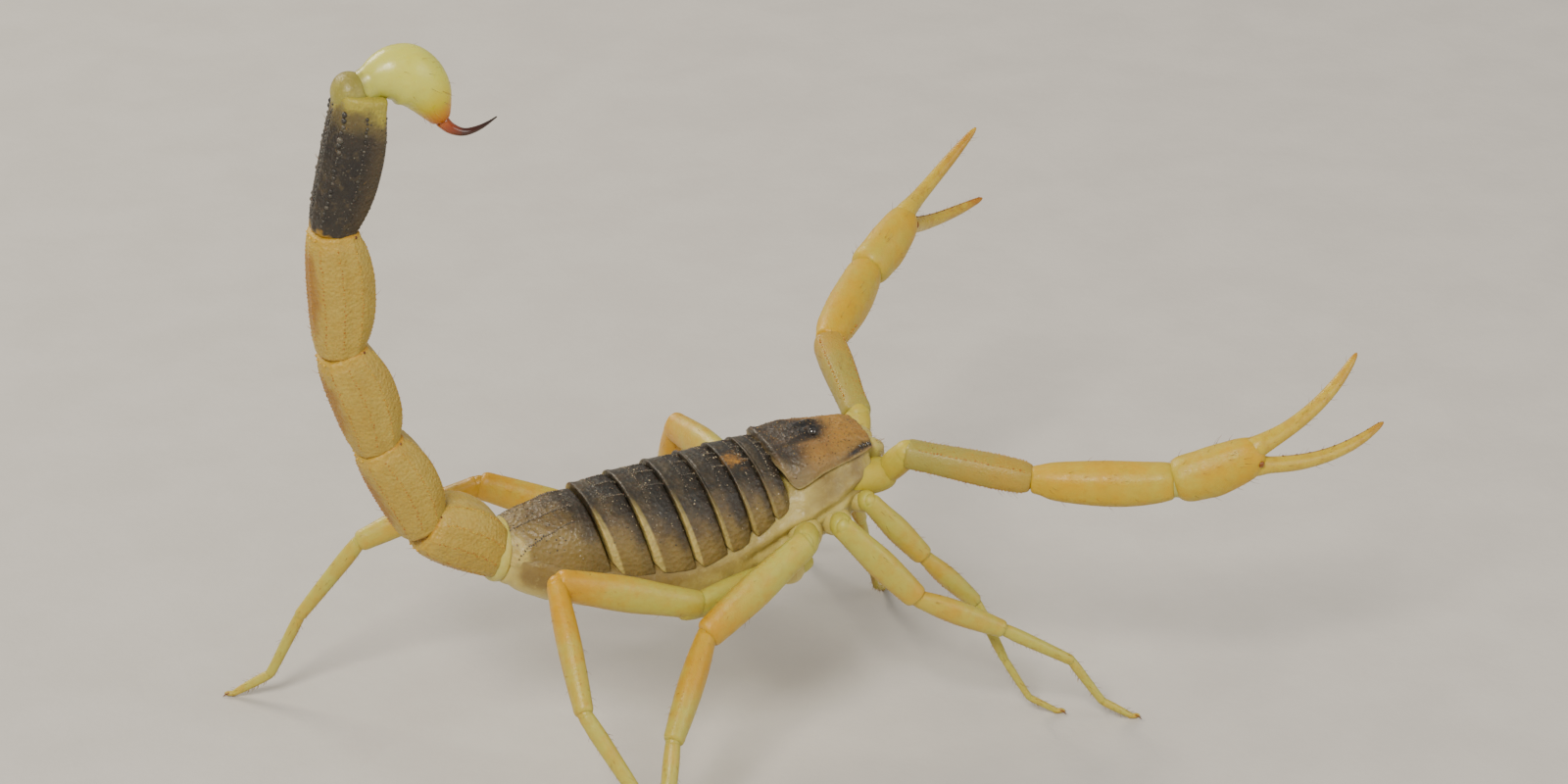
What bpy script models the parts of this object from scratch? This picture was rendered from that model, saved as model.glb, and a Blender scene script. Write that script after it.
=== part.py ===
"""A deathstalker scorpion, standing with its tail raised over its back and both pincers held out.

Lengths below are in millimetres and angles in degrees; MM turns them into Blender's metres.
The animal faces +X with its right side at -Y, and its eight feet stand on the floor at z = 0.
Each piece is a loft: a row of closed rings, skinned and capped. Where two pieces meet, their end
rings lie in the mitre plane of the joint, with a narrow GAP between them.
"""

from math import asin, cos, degrees, pi, radians, sin, tan

import bmesh
import bpy
from mathutils import Vector

MM = 0.001
GAP = 0.2

# Stance
PITCH = 4.5
TAIL_ROOT_HEIGHT = 21.0

# Trunk, measured forward from the joint with the tail: x, half width, back, plate edge, belly
TRUNK = (
    (0.3, 2.6, 2.4, 0.5, -2.5),
    (3.0, 3.9, 2.9, -0.3, -4.4),
    (6.2, 4.9, 3.3, -1.2, -6.3),
    (10.0, 5.5, 3.7, -2.2, -7.6),
    (15.0, 5.9, 3.9, -2.8, -8.1),
    (20.0, 5.5, 3.9, -1.8, -7.2),
    (23.7, 4.9, 3.7, -0.3, -5.6),
)
TERGITE_LENGTHS = (1.7, 2.2, 2.6, 2.9, 3.4, 3.3, 7.3)
MESOSOMA_REAR = 0.3
# The seams between the back plates lean: their lower ends lie ahead of their tops. Behind plate six
# the lean turns over into the mitre of the tail's first joint.
SEAM_LEAN = 9.0
SEAM_PIVOT_HEIGHT = 3.7
MESOSOMA_LENGTH = MESOSOMA_REAR + sum(TERGITE_LENGTHS)

# Carapace, measured forward from its rear edge: x, half width, back, lower edge, eye mound
CARAPACE = (
    (0.2, 4.6, 3.3, 0.4, 0),
    (1.0, 4.75, 3.65, 0.6, 0),
    (2.6, 4.6, 3.75, 1.1, 0.05),
    (3.7, 4.35, 3.6, 1.4, 0.3),
    (4.6, 4.2, 3.45, 1.5, 0.55),
    (5.8, 3.95, 3.5, 1.6, 0.3),
    (7.4, 3.6, 3.55, 1.75, 0),
    (8.6, 3.25, 3.2, 1.85, 0),
    (9.0, 3.05, 2.7, 1.9, 0),
)
CARAPACE_LENGTH = 9.0
# Block of leg coxae, measured forward from the same edge: x, half width, top, underside
COXAE = (
    (0.0, 4.3, -0.7, -5.4),
    (1.5, 5.2, 0.4, -5.6),
    (4.0, 4.9, 1.1, -5.3),
    (6.6, 4.1, 1.35, -4.3),
    (8.6, 3.3, 1.45, -3.2),
)
TUBERCLE_X = 4.5
# Middle line of a jaw, forward from the head shield's front: x, distance from the middle, height
CHELICERA = ((0.0, 1.25, 1.1), (0.7, 1.3, 1.1), (1.3, 1.25, 0.9), (1.9, 1.1, 0.6), (2.4, 0.9, 0.2))
EYE_RADIUS = 0.42
EYE_SPREAD = 0.85
EYE_HEIGHT = 3.5

# Tail: length, full width, full depth and rise of each segment above the horizontal, root first
METASOMA = (
    (7.1, 5.6, 5.2, 31),
    (8.6, 5.2, 4.8, 66),
    (9.0, 5.0, 4.7, 73),
    (10.2, 4.8, 4.6, 89),
    (11.3, 4.5, 4.3, 104),
)
# Way in which the sting's neck leaves the last segment
NECK_WAY = Vector((cos(radians(30)), 0, sin(radians(30))))
# Sting, in the tail's plane from the last joint: forward, up, half width, half depth
VESICLE = (
    (0.12, 0.16, 1.2, 1.25),
    (0.65, 0.5, 1.35, 1.4),
    (1.4, 0.85, 1.75, 1.85),
    (2.4, 1.1, 2.2, 2.3),
    (3.6, 0.9, 2.5, 2.6),
    (4.7, 0.1, 2.35, 2.4),
    (5.5, -1.1, 1.95, 2.0),
    (6.0, -2.3, 1.3, 1.4),
    (6.4, -3.3, 0.75, 0.8),
)
ACULEUS = (
    (6.6, -3.55, 0.6, 0.6),
    (7.2, -4.15, 0.5, 0.5),
    (8.3, -4.6, 0.4, 0.4),
    (9.7, -4.35, 0.32, 0.32),
    (11.0, -3.7, 0.26, 0.26),
)

# Pincers: root point, then length, heading from straight ahead and rise of each piece.
# Headings count towards the animal's own right or left side.
PALPS = {
    "right": {
        "root": (34.6, 4.7, 4.2),
        "femur": (10.7, 31, -9),
        "patella": (11.8, 29, 2),
        "hand": (7.4, 21, 17),
        "fixed_finger": (12.0, -13, 28),
        "movable_finger": (12.3, -9, 4),
    },
    "left": {
        "root": (34.3, 4.4, 3.8),
        "femur": (10.1, 82, 16),
        "patella": (11.6, 49, 9),
        "hand": (7.4, 34, 19),
        "fixed_finger": (12.0, 31, 22),
        "movable_finger": (12.4, 33, -7),
    },
}
# Where both pincers leave the front of the leg base, and how far they run straight ahead there
PALP_COXA = (32.55, 2.9, 1.7)
PALP_COXA_LENGTH = 1.0
# Share of each piece's length, half width, half height and lift of its middle
PALP_COXA_PROFILE = ((0.0, 0.8, 1.1, 0),)
PALP_TROCHANTER_PROFILE = ((0.0, 1.0, 1.05, 0), (0.5, 1.15, 1.15, 0))
PALP_FEMUR_PROFILE = (
    (0.0, 1.15, 1.15, 0),
    (0.16, 1.0, 1.1, 0),
    (0.35, 1.15, 1.2, 0),
    (0.75, 1.3, 1.3, 0),
    (0.93, 1.2, 1.15, 0),
    (1.0, 0.8, 0.8, 0),
)
PALP_PATELLA_PROFILE = (
    (0.0, 0.8, 0.8, 0),
    (0.12, 1.4, 1.4, -0.2),
    (0.4, 1.9, 1.9, -0.35),
    (0.75, 1.75, 1.8, -0.35),
    (0.92, 1.3, 1.35, -0.15),
    (1.0, 0.75, 0.75, 0),
)
HAND_PROFILE = (
    (0.0, 0.8, 0.8, 0),
    (0.15, 1.45, 1.65, -0.1),
    (0.45, 1.85, 2.2, -0.2),
    (0.8, 1.7, 2.05, 0),
)
FINGER_SIZES = ((0.68, 0.72), (0.6, 0.62), (0.52, 0.54), (0.42, 0.44), (0.26, 0.26))
FINGER_BOW = 1.0

# Legs: lengths of femur with trochanter, patella, tibia, basitarsus and tarsus, and the girth of all
LEG_LENGTHS = {
    1: (7.6, 7.0, 6.0, 4.4, 2.8),
    2: (9.6, 8.5, 7.0, 5.0, 3.1),
    3: (11.6, 9.8, 8.2, 5.8, 3.5),
    4: (13.6, 11.5, 9.0, 6.5, 4.0),
}
LEG_GIRTH = {1: 0.72, 2: 0.87, 3: 1.12, 4: 1.05}
# Where each leg leaves the leg base, and its hip, where trochanter and femur meet
LEG_ROOTS = {1: (31.0, 4.2, 0.2), 2: (28.3, 5.2, -0.8), 3: (25.3, 5.5, -1.2), 4: (23.4, 6.3, -3.6)}
LEG_HIPS = {1: (30.9, 5.5, 0.9), 2: (27.9, 6.8, -0.3), 3: (24.3, 7.9, -0.6), 4: (15.0, 7.5, -4.7)}
# Heading and rise of each piece. The tibia's rise follows from the floor, so it has a heading only.
LEG_POSES = {
    ("right", 1): ((10, -50), (4, -47), 20, (20, -60), (20, -30)),
    ("right", 2): ((16, -48), (10, -27), 10, (16, -56), (16, -32)),
    ("right", 3): ((165, -27), (132, -35), 121, (121, -20), (121, -13)),
    ("right", 4): ((177, 21), (97, -38), 52, (52, -52), (52, -24)),
    ("left", 1): ((38, -46), (45, -54), 50, (50, -60), (50, -30)),
    ("left", 2): ((62, -15), (62, -50), 64, (64, -60), (64, -28)),
    ("left", 3): ((94, -6), (80, -62), 84, (84, -66), (84, -36)),
    ("left", 4): ((157, 18), (161, -26), 152, (152, -64), (152, -32)),
}
# Share of the piece's length, half width and half height for a leg of girth 1
TROCHANTER_PROFILE = ((0.0, 0.85, 1.1), (0.5, 1.05, 1.35))
FEMUR_PROFILE = (
    (0.0, 0.95, 1.15),
    (0.15, 0.95, 1.2),
    (0.5, 1.1, 1.5),
    (0.88, 1.0, 1.3),
    (1.0, 0.65, 0.7),
)
PATELLA_PROFILE = (
    (0.0, 0.65, 0.7),
    (0.16, 0.9, 1.05),
    (0.45, 1.0, 1.25),
    (0.86, 0.85, 1.0),
    (1.0, 0.55, 0.6),
)
TIBIA_PROFILE = ((0.0, 0.5, 0.55), (0.16, 0.68, 0.75), (0.85, 0.55, 0.6))
BASITARSUS_PROFILE = ((0.0, 0.46, 0.46), (0.2, 0.5, 0.52), (0.85, 0.42, 0.44))
TARSUS_PROFILE = ((0.0, 0.4, 0.4), (0.25, 0.42, 0.44), (0.8, 0.36, 0.36))
THINNEST = 0.27
SOLE_LENGTH = 0.9
SOLE_HALF_HEIGHT = 0.28

COLOURS = {
    "straw": ((0.62, 0.46, 0.15), 0.38),
    "amber": ((0.62, 0.36, 0.08), 0.35),
    "pale green": ((0.50, 0.47, 0.20), 0.42),
    "slate brown": ((0.075, 0.062, 0.048), 0.45),
    "golden brown": ((0.36, 0.20, 0.06), 0.40),
    "ivory": ((0.63, 0.56, 0.33), 0.40),
    "charcoal": ((0.035, 0.028, 0.024), 0.45),
    "lemon": ((0.64, 0.52, 0.16), 0.30),
    "sting brown": ((0.05, 0.015, 0.008), 0.22),
    "eye black": ((0.006, 0.005, 0.005), 0.08),
}


def clear_scene():
    for obj in list(bpy.data.objects):
        bpy.data.objects.remove(obj, do_unlink=True)


def make_materials():
    made = {}
    for name, (colour, roughness) in COLOURS.items():
        material = bpy.data.materials.new(name)
        material.use_nodes = True
        shader = material.node_tree.nodes["Principled BSDF"]
        shader.inputs["Base Color"].default_value = (*colour, 1.0)
        shader.inputs["Roughness"].default_value = roughness
        shader.inputs["Metallic"].default_value = 0.0
        made[name] = material
    return made


def heading(side, azimuth, rise):
    """Unit vector at this angle from straight ahead, towards the animal's own side, and this rise."""
    outward = -1 if side == "right" else 1
    level = cos(radians(rise))
    return Vector(
        (cos(radians(azimuth)) * level, outward * sin(radians(azimuth)) * level, sin(radians(rise)))
    )


def superellipse(angle, power):
    """A point of the rounded square |a|^power + |b|^power = 1 in this direction."""
    c, s = cos(angle), sin(angle)
    return (
        (abs(c) ** (2 / power)) * (1 if c >= 0 else -1),
        (abs(s) ** (2 / power)) * (1 if s >= 0 else -1),
    )


def cross_ring(
    centre, along, up, half_width, rise, sides=8, power=2.0, drop=None, cut=None, mound=0.0
):
    """Ring round centre, square to along, slid along it onto the plane whose normal is cut.

    Rise and drop are its reaches up and down; a drop of 0 makes a flat underside. Mound lifts the
    middle of its top.
    """
    along = along.normalized()
    side = up.cross(along).normalized()
    up = along.cross(side)
    drop = rise if drop is None else drop
    points = []
    for k in range(sides):
        a, b = superellipse(2 * pi * (k + 0.5) / sides, power)
        offset = side * (a * half_width) + up * (b * (rise if b > 0 else drop))
        if b > 0:
            offset += up * (mound * max(0.0, 1 - 3 * abs(a)))
        if cut is not None:
            offset -= along * (offset.dot(cut) / along.dot(cut))
        points.append(centre + offset)
    return points


def loft(name, rings, material, smooth_angle=50):
    """One closed object skinned over the rings, which are given in millimetres."""
    bm = bmesh.new()
    rows = [[bm.verts.new(point * MM) for point in ring] for ring in rings]
    sides = len(rows[0])
    for first, second in zip(rows, rows[1:]):
        for k in range(sides):
            n = (k + 1) % sides
            bm.faces.new((first[k], first[n], second[n], second[k]))
    bm.faces.new(rows[0])
    bm.faces.new(rows[-1])
    bmesh.ops.recalc_face_normals(bm, faces=bm.faces)
    mesh = bpy.data.meshes.new(name)
    bm.to_mesh(mesh)
    bm.free()
    mesh.shade_smooth()
    mesh.set_sharp_from_angle(angle=radians(smooth_angle))
    mesh.materials.append(material)
    obj = bpy.data.objects.new(name, mesh)
    bpy.context.scene.collection.objects.link(obj)
    return obj


def straight_rings(start, end, profile, before=None, after=None, up=Vector((0, 0, 1)), **ring):
    """Rings along one straight piece. Profile rows are share of length, half width, half height, lift.

    The first and last rings lie in the mitre planes with the pieces before and after.
    """
    along = (end - start).normalized()
    side = up.cross(along).normalized()
    up = along.cross(side)
    start_cut = (along + before.normalized()) if before else along
    end_cut = (along + after.normalized()) if after else along
    half_gap = GAP / 2 / max(0.5, along.dot(start_cut.normalized()))
    end_gap = GAP / 2 / max(0.5, along.dot(end_cut.normalized()))
    first = start + along * half_gap
    last = end - along * end_gap
    rings = []
    for k, (share, half_width, half_height, lift) in enumerate(profile):
        centre = first.lerp(last, share) + up * lift
        cut = None
        if k == 0:
            cut = start_cut.normalized()
        elif share == 1:
            cut = end_cut.normalized()
        rings.append(cross_ring(centre, along, up, half_width, half_height, cut=cut, **ring))
    return rings


def curved_rings(points, sizes, side, first=None, last=None, **ring):
    """Rings along a curve of points that keeps the same side vector; sizes are half width and height."""
    rings = []
    for k, (point, (half_width, half_height)) in enumerate(zip(points, sizes)):
        along = points[min(k + 1, len(points) - 1)] - points[max(k - 1, 0)]
        if k == 0 and first:
            along = first
        if k == len(points) - 1 and last:
            along = last
        rings.append(cross_ring(point, along, along.cross(side), half_width, half_height, **ring))
    return rings


def trunk_section(x):
    """Half width, back, plate edge and belly of the trunk at x, smoothly between TRUNK's rows."""
    for low, high in zip(TRUNK, TRUNK[1:]):
        if x <= high[0]:
            t = (x - low[0]) / (high[0] - low[0])
            return [a + (b - a) * t for a, b in zip(low[1:], high[1:])]
    return list(TRUNK[-1][1:])


def body_point(x, y, z):
    """A point given forward from the tail joint along the pitched trunk, in the standing animal."""
    c, s = cos(radians(PITCH)), sin(radians(PITCH))
    return Vector((x * c - z * s, y, TAIL_ROOT_HEIGHT + x * s + z * c))


def seam_lean(x):
    """Lean of the trunk's cross plane at x, and the height in it that stays at x."""
    share = min(1.0, (x - MESOSOMA_REAR) / TERGITE_LENGTHS[-1])
    mitre = -(METASOMA[0][3] + PITCH) / 2
    return radians(mitre + (SEAM_LEAN - mitre) * share), SEAM_PIVOT_HEIGHT * share


def body_ring(x, half_width, back, edge, drop=0.0, lean_share=1.0, **ring):
    """Ring of the trunk at x, from its back down to its edge and below it by drop."""
    ahead = heading("left", 0, PITCH)
    up = body_point(0, 0, 1) - body_point(0, 0, 0)
    lean, pivot = seam_lean(x)
    lean *= lean_share
    centre = body_point(x + (pivot - edge) * tan(lean), 0, edge)
    cut = ahead * cos(lean) + up * sin(lean)
    return cross_ring(centre, ahead, up, half_width, back - edge, drop=drop, cut=cut, **ring)


def make_tergites(materials):
    """Seven back plates, each with a raised rear lip over the sunken front of the next."""
    rear = MESOSOMA_LENGTH
    for number, length in enumerate(TERGITE_LENGTHS, start=1):
        front, rear = rear, rear - length
        rings = []
        for share, lip in ((0.0, 0.90), (0.25, 0.95), (0.8, 1.0), (1.0, 0.985)):
            x = front - GAP / 2 - (length - GAP) * share
            half_width, back, edge, _ = trunk_section(x)
            rings.append(
                body_ring(
                    x,
                    half_width * (0.97 + 0.03 * lip),
                    edge + (back - edge) * lip,
                    edge,
                    sides=20,
                    power=2.3,
                )
            )
        loft(f"tergite_{number}", rings, materials["slate brown"])


def make_belly(materials):
    """Pleura and sternites as one soft body under the back plates."""
    rings = []
    stations = [TRUNK[0][0] + GAP / 2, *(row[0] for row in TRUNK[1:-1]), TRUNK[-1][0] - GAP]
    for x in stations:
        half_width, _, edge, belly = trunk_section(x)
        middle = edge + (belly - edge) * 0.4
        top = edge - GAP
        rings.append(
            body_ring(
                x,
                half_width * 1.03,
                top,
                middle,
                drop=middle - belly,
                sides=20,
                power=2.7,
            )
        )
    loft("belly", rings, materials["pale green"])


def make_carapace(materials):
    """Head shield with the raised eye mound, its sockets cut out for the two middle eyes."""
    rings = []
    for x, half_width, back, edge, mound in CARAPACE:
        rings.append(
            body_ring(
                MESOSOMA_LENGTH + x,
                half_width,
                back,
                edge,
                sides=28,
                power=2.9,
                lean_share=1 - x / CARAPACE_LENGTH,
                mound=mound,
            )
        )
    carapace = loft("carapace", rings, materials["golden brown"])
    for side, sign in (("right", -1), ("left", 1)):
        at = body_point(MESOSOMA_LENGTH + TUBERCLE_X, sign * EYE_SPREAD, EYE_HEIGHT)
        socket = ball(f"{side}_eye_socket", at, EYE_RADIUS + GAP / 2, materials["eye black"])
        socket.hide_render = True
        socket.display_type = "WIRE"
        cut = carapace.modifiers.new(f"{side} eye socket", "BOOLEAN")
        cut.operation = "DIFFERENCE"
        cut.object = socket
        ball(f"eye_{side}", at, EYE_RADIUS, materials["eye black"])


def ball(name, at, radius, material):
    bm = bmesh.new()
    bmesh.ops.create_icosphere(bm, subdivisions=2, radius=radius * MM)
    bmesh.ops.translate(bm, verts=bm.verts, vec=at * MM)
    mesh = bpy.data.meshes.new(name)
    bm.to_mesh(mesh)
    bm.free()
    mesh.shade_smooth()
    mesh.materials.append(material)
    obj = bpy.data.objects.new(name, mesh)
    bpy.context.scene.collection.objects.link(obj)
    return obj


def make_leg_base(materials):
    """The block of leg coxae and the sternum under the head shield."""
    rings = []
    for x, half_width, top, floor in COXAE:
        middle = top + (floor - top) * 0.4
        rings.append(
            body_ring(
                MESOSOMA_LENGTH + x,
                half_width,
                top,
                middle,
                drop=middle - floor,
                lean_share=1 - x / CARAPACE_LENGTH,
                sides=16,
                power=2.8,
            )
        )
    loft("coxae_and_sternum", rings, materials["pale green"])


def make_chelicerae(materials):
    """Two short jaws side by side under the front edge of the head shield."""
    front = MESOSOMA_LENGTH + CARAPACE_LENGTH + GAP
    for side, sign in (("right", -1), ("left", 1)):
        points = [
            body_point(front + x, sign * y, z)
            for x, y, z in CHELICERA
        ]
        sizes = ((1.0, 1.0), (1.1, 1.15), (0.95, 1.0), (0.65, 0.7), (0.3, 0.35))
        rings = curved_rings(points, sizes, Vector((0, 1, 0)), sides=10)
        loft(f"chelicera_{side}", rings, materials["ivory"])


def make_pectines(materials):
    """Two comb organs that sweep out and back below the front of the belly."""
    for side, sign in (("right", -1), ("left", 1)):
        points = [
            body_point(22.8 - 3.2 * t, sign * (0.9 + 4.4 * t), -7.5 + 0.3 * t * t)
            for t in (0.0, 0.3, 0.65, 1.0)
        ]
        sizes = ((0.7, 0.28), (0.9, 0.28), (0.8, 0.28), (0.4, 0.26))
        across = (points[-1] - points[0]).cross(Vector((0, 0, 1))).normalized()
        rings = curved_rings(points, sizes, across, sides=8)
        loft(f"pecten_{side}", rings, materials["ivory"])


def make_tail(materials):
    """Five ringed segments in the animal's middle plane, then the sting."""
    colours = ("straw", "amber", "amber", "amber", "charcoal")
    directions = [heading("left", 180, rise) for _, _, _, rise in METASOMA]
    start = body_point(0, 0, 0)
    for k, (length, width, depth, _) in enumerate(METASOMA):
        end = start + directions[k] * length
        before = directions[k - 1] if k else heading("left", 180, -PITCH)
        after = directions[k + 1] if k < 4 else NECK_WAY
        last = k == len(METASOMA) - 1
        profile = [
            (share, width / 2 * across, depth / 2 * deep, lift)
            for share, across, deep, lift in (
                (0.0, 0.66, 0.60, 0),
                (0.10, 0.90, 0.88, 0.05),
                (0.30, 0.97, 1.02, 0.2),
                (0.65, 1.0, 1.06, 0.25),
                (0.90, 0.98, 0.96, 0.1),
                (1.0, 0.92 if last else 0.76, 0.9 if last else 0.72, 0),
            )
        ]
        toward_back = Vector((1, 0, 0)) if k else Vector((0, 0, 1))
        rings = straight_rings(
            start, end, profile, before, after, up=toward_back, sides=16, power=2.8
        )
        loft(f"metasoma_{k + 1}", rings, materials[colours[k]])
        start = end
    for name, rows, colour in (
        ("vesicle", VESICLE, "lemon"),
        ("aculeus", ACULEUS, "sting brown"),
    ):
        points = [start + Vector((x, 0, z)) for x, z, _, _ in rows]
        sizes = [(half_width, half_depth) for _, _, half_width, half_depth in rows]
        sides, first = (14, directions[-1] + NECK_WAY) if name == "vesicle" else (8, None)
        rings = curved_rings(points, sizes, Vector((0, 1, 0)), first, sides=sides)
        loft(name, rings, materials[colour])


def finger_curve(root, direction, length, side, count=6):
    """Points of a finger from its root, bowed outwards and down between root and tip."""
    outward = Vector((0, -1 if side == "right" else 1, -1)).normalized()
    bow = outward - direction * outward.dot(direction)
    points = []
    for k in range(count):
        t = k / (count - 1)
        points.append(root + direction * (length * t) + bow * (FINGER_BOW * 4 * t * (1 - t)))
    return points


def make_palps(materials):
    """Both pincers: femur with trochanter, patella, hand with fixed finger, and movable finger."""
    for side, palp in PALPS.items():
        sign = -1 if side == "right" else 1
        x, y, z = palp["root"]
        root = Vector((x, sign * y, TAIL_ROOT_HEIGHT + z))
        names = ("femur", "patella", "hand", "fixed_finger", "movable_finger")
        way = {name: heading(side, *palp[name][1:]) for name in names}
        elbow = root + way["femur"] * palp["femur"][0]
        wrist = elbow + way["patella"] * palp["patella"][0]
        knuckle = wrist + way["hand"] * palp["hand"][0]

        x, y, z = PALP_COXA
        coxa = Vector((x, sign * y, TAIL_ROOT_HEIGHT + z))
        bend = coxa + Vector((PALP_COXA_LENGTH, 0, 0))
        rings = straight_rings(coxa, bend, PALP_COXA_PROFILE, sides=10, power=2.4)
        rings += straight_rings(
            bend, root, PALP_TROCHANTER_PROFILE, bend - coxa, sides=10, power=2.4
        )
        rings += straight_rings(
            root, elbow, PALP_FEMUR_PROFILE, root - bend, way["patella"], sides=10, power=2.4
        )
        loft(f"pedipalp_{side}_femur", rings, materials["straw"])

        rings = straight_rings(
            elbow, wrist, PALP_PATELLA_PROFILE, way["femur"], way["hand"], sides=10, power=2.4
        )
        loft(f"pedipalp_{side}_patella", rings, materials["straw"])

        rings = straight_rings(wrist, knuckle, HAND_PROFILE, before=way["patella"], sides=10)
        up = way["hand"].cross(Vector((0, 0, 1)).cross(way["hand"])).normalized()
        fixed_root = knuckle + up * 0.95
        curve = finger_curve(fixed_root, way["fixed_finger"], palp["fixed_finger"][0], side)
        sizes = ((0.85, 0.95), *FINGER_SIZES)
        across = way["fixed_finger"].cross(Vector((0, 0, 1)))
        rings += curved_rings(curve, sizes, -across, sides=10)
        loft(f"pedipalp_{side}_hand", rings, materials["straw"])

        movable_root = knuckle - up * 0.95 + way["hand"] * 0.25
        curve = finger_curve(movable_root, way["movable_finger"], palp["movable_finger"][0], side)
        sizes = ((0.75, 0.7), *FINGER_SIZES)
        across = way["movable_finger"].cross(Vector((0, 0, 1)))
        rings = curved_rings(curve, sizes, -across, sides=8)
        loft(f"pedipalp_{side}_movable_finger", rings, materials["amber"])


def scaled(profile, girth):
    """The profile's rows for a leg of this girth, with no lift."""
    return [(share, wide * girth, high * girth, 0) for share, wide, high in profile]


def make_leg(side, number, materials):
    """Femur with trochanter, patella, and the foot from tibia to sole. The sole lies on the floor."""
    sign = -1 if side == "right" else 1
    girth = LEG_GIRTH[number]
    femur_pose, patella_pose, tibia_heading, basitarsus_pose, tarsus_pose = LEG_POSES[side, number]
    femur, patella, tibia, basitarsus, tarsus = LEG_LENGTHS[number]
    x, y, z = LEG_HIPS[number]
    hip = Vector((x, sign * y, TAIL_ROOT_HEIGHT + z))
    knee = hip + heading(side, *femur_pose) * femur
    ankle = knee + heading(side, *patella_pose) * patella
    drop_below = -basitarsus * sin(radians(basitarsus_pose[1]))
    drop_below -= tarsus * sin(radians(tarsus_pose[1]))
    tibia_rise = -degrees(asin((ankle.z - drop_below - SOLE_HALF_HEIGHT) / tibia))
    tibia_way = heading(side, tibia_heading, tibia_rise)
    heel = ankle + tibia_way * tibia
    toe = heel + heading(side, *basitarsus_pose) * basitarsus
    sole = toe + heading(side, *tarsus_pose) * tarsus
    tip = sole + heading(side, tarsus_pose[0], 0) * SOLE_LENGTH

    name = f"leg_{side}_{number}"
    x, y, z = LEG_ROOTS[number]
    root = Vector((x, sign * y, TAIL_ROOT_HEIGHT + z))
    rings = straight_rings(root, hip, scaled(TROCHANTER_PROFILE, girth), power=2.3)
    rings += straight_rings(
        hip, knee, scaled(FEMUR_PROFILE, girth), hip - root, ankle - knee, power=2.3
    )
    loft(f"{name}_femur", rings, materials["straw"])

    rings = straight_rings(
        knee, ankle, scaled(PATELLA_PROFILE, girth), knee - hip, heel - ankle, power=2.3
    )
    loft(f"{name}_patella", rings, materials["straw"])

    rings = []
    pieces = (
        (ankle, heel, ankle - knee, toe - heel, TIBIA_PROFILE),
        (heel, toe, heel - ankle, sole - toe, BASITARSUS_PROFILE),
        (toe, sole, toe - heel, tip - sole, TARSUS_PROFILE),
    )
    for start, end, before, after, rows in pieces:
        profile = [
            (share, max(THINNEST, wide * girth), max(THINNEST, high * girth), 0)
            for share, wide, high in rows
        ]
        rings += straight_rings(start, end, profile, before, after)
    level = tip - sole
    for point in (sole, tip):
        rings.append(
            cross_ring(point, level, Vector((0, 0, 1)), 0.3, SOLE_HALF_HEIGHT / cos(pi / 8))
        )
    loft(f"{name}_foot", rings, materials["amber"])


def set_origin_under_middle():
    """Moves the animal so that the origin is on the floor under the middle of its box."""
    bpy.context.view_layer.update()
    shown = [obj for obj in bpy.data.objects if not obj.hide_render]
    corners = [obj.matrix_world @ vert.co for obj in shown for vert in obj.data.vertices]
    middle = [(min(c[i] for c in corners) + max(c[i] for c in corners)) / 2 for i in (0, 1)]
    stand = bpy.data.objects.new("stance", None)
    bpy.context.scene.collection.objects.link(stand)
    for obj in bpy.data.objects:
        if obj is not stand:
            obj.parent = stand
    stand.location = (-middle[0], -middle[1], -min(c.z for c in corners))


def main():
    clear_scene()
    materials = make_materials()
    make_tergites(materials)
    make_belly(materials)
    make_carapace(materials)
    make_leg_base(materials)
    make_chelicerae(materials)
    make_pectines(materials)
    make_tail(materials)
    make_palps(materials)
    for side, number in LEG_POSES:
        make_leg(side, number, materials)
    set_origin_under_middle()


main()
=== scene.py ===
"""Looks of a deathstalker scorpion: shell, skin, eyes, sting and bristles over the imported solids.

Sizes below are in millimetres; MM turns them into metres. Each limb piece is drawn out of a
circle along +Z in its own straight frame, with +Y towards its back, and is then laid into place
between the rings of its solid.
"""

import random
from math import atan, atan2, cos, pi, radians, sin

import bmesh
import bpy
import numpy as np
from mathutils import Matrix, Vector, noise
from mathutils.bvhtree import BVHTree


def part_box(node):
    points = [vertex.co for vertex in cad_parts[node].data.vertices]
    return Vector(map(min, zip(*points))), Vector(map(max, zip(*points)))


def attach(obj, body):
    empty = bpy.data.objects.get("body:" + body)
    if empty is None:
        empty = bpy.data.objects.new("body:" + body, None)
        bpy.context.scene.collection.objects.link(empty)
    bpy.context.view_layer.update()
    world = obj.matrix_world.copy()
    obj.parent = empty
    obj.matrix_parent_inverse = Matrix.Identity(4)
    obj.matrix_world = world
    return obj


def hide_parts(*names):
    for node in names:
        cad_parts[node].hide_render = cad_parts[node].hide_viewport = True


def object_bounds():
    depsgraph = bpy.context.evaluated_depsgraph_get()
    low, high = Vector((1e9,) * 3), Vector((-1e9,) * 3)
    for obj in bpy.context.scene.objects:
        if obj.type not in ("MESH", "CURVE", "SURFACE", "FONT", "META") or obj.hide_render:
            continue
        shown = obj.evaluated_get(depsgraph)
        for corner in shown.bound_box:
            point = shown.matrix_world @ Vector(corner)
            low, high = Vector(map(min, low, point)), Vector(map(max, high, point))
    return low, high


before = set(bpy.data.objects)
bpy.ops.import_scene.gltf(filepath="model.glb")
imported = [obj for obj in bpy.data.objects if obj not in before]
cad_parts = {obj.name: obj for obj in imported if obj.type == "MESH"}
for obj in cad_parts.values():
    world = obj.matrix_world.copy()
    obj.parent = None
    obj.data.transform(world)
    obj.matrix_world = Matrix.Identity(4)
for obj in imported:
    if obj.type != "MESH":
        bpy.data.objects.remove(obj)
cad_low, cad_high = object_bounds()

MM = 0.001
UP = Vector((0, 0, 1))
AHEAD = Vector((1, 0, 0))
SIDES = (("right", -1), ("left", 1))
chance = random.Random(41)


# Reading the solids


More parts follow.
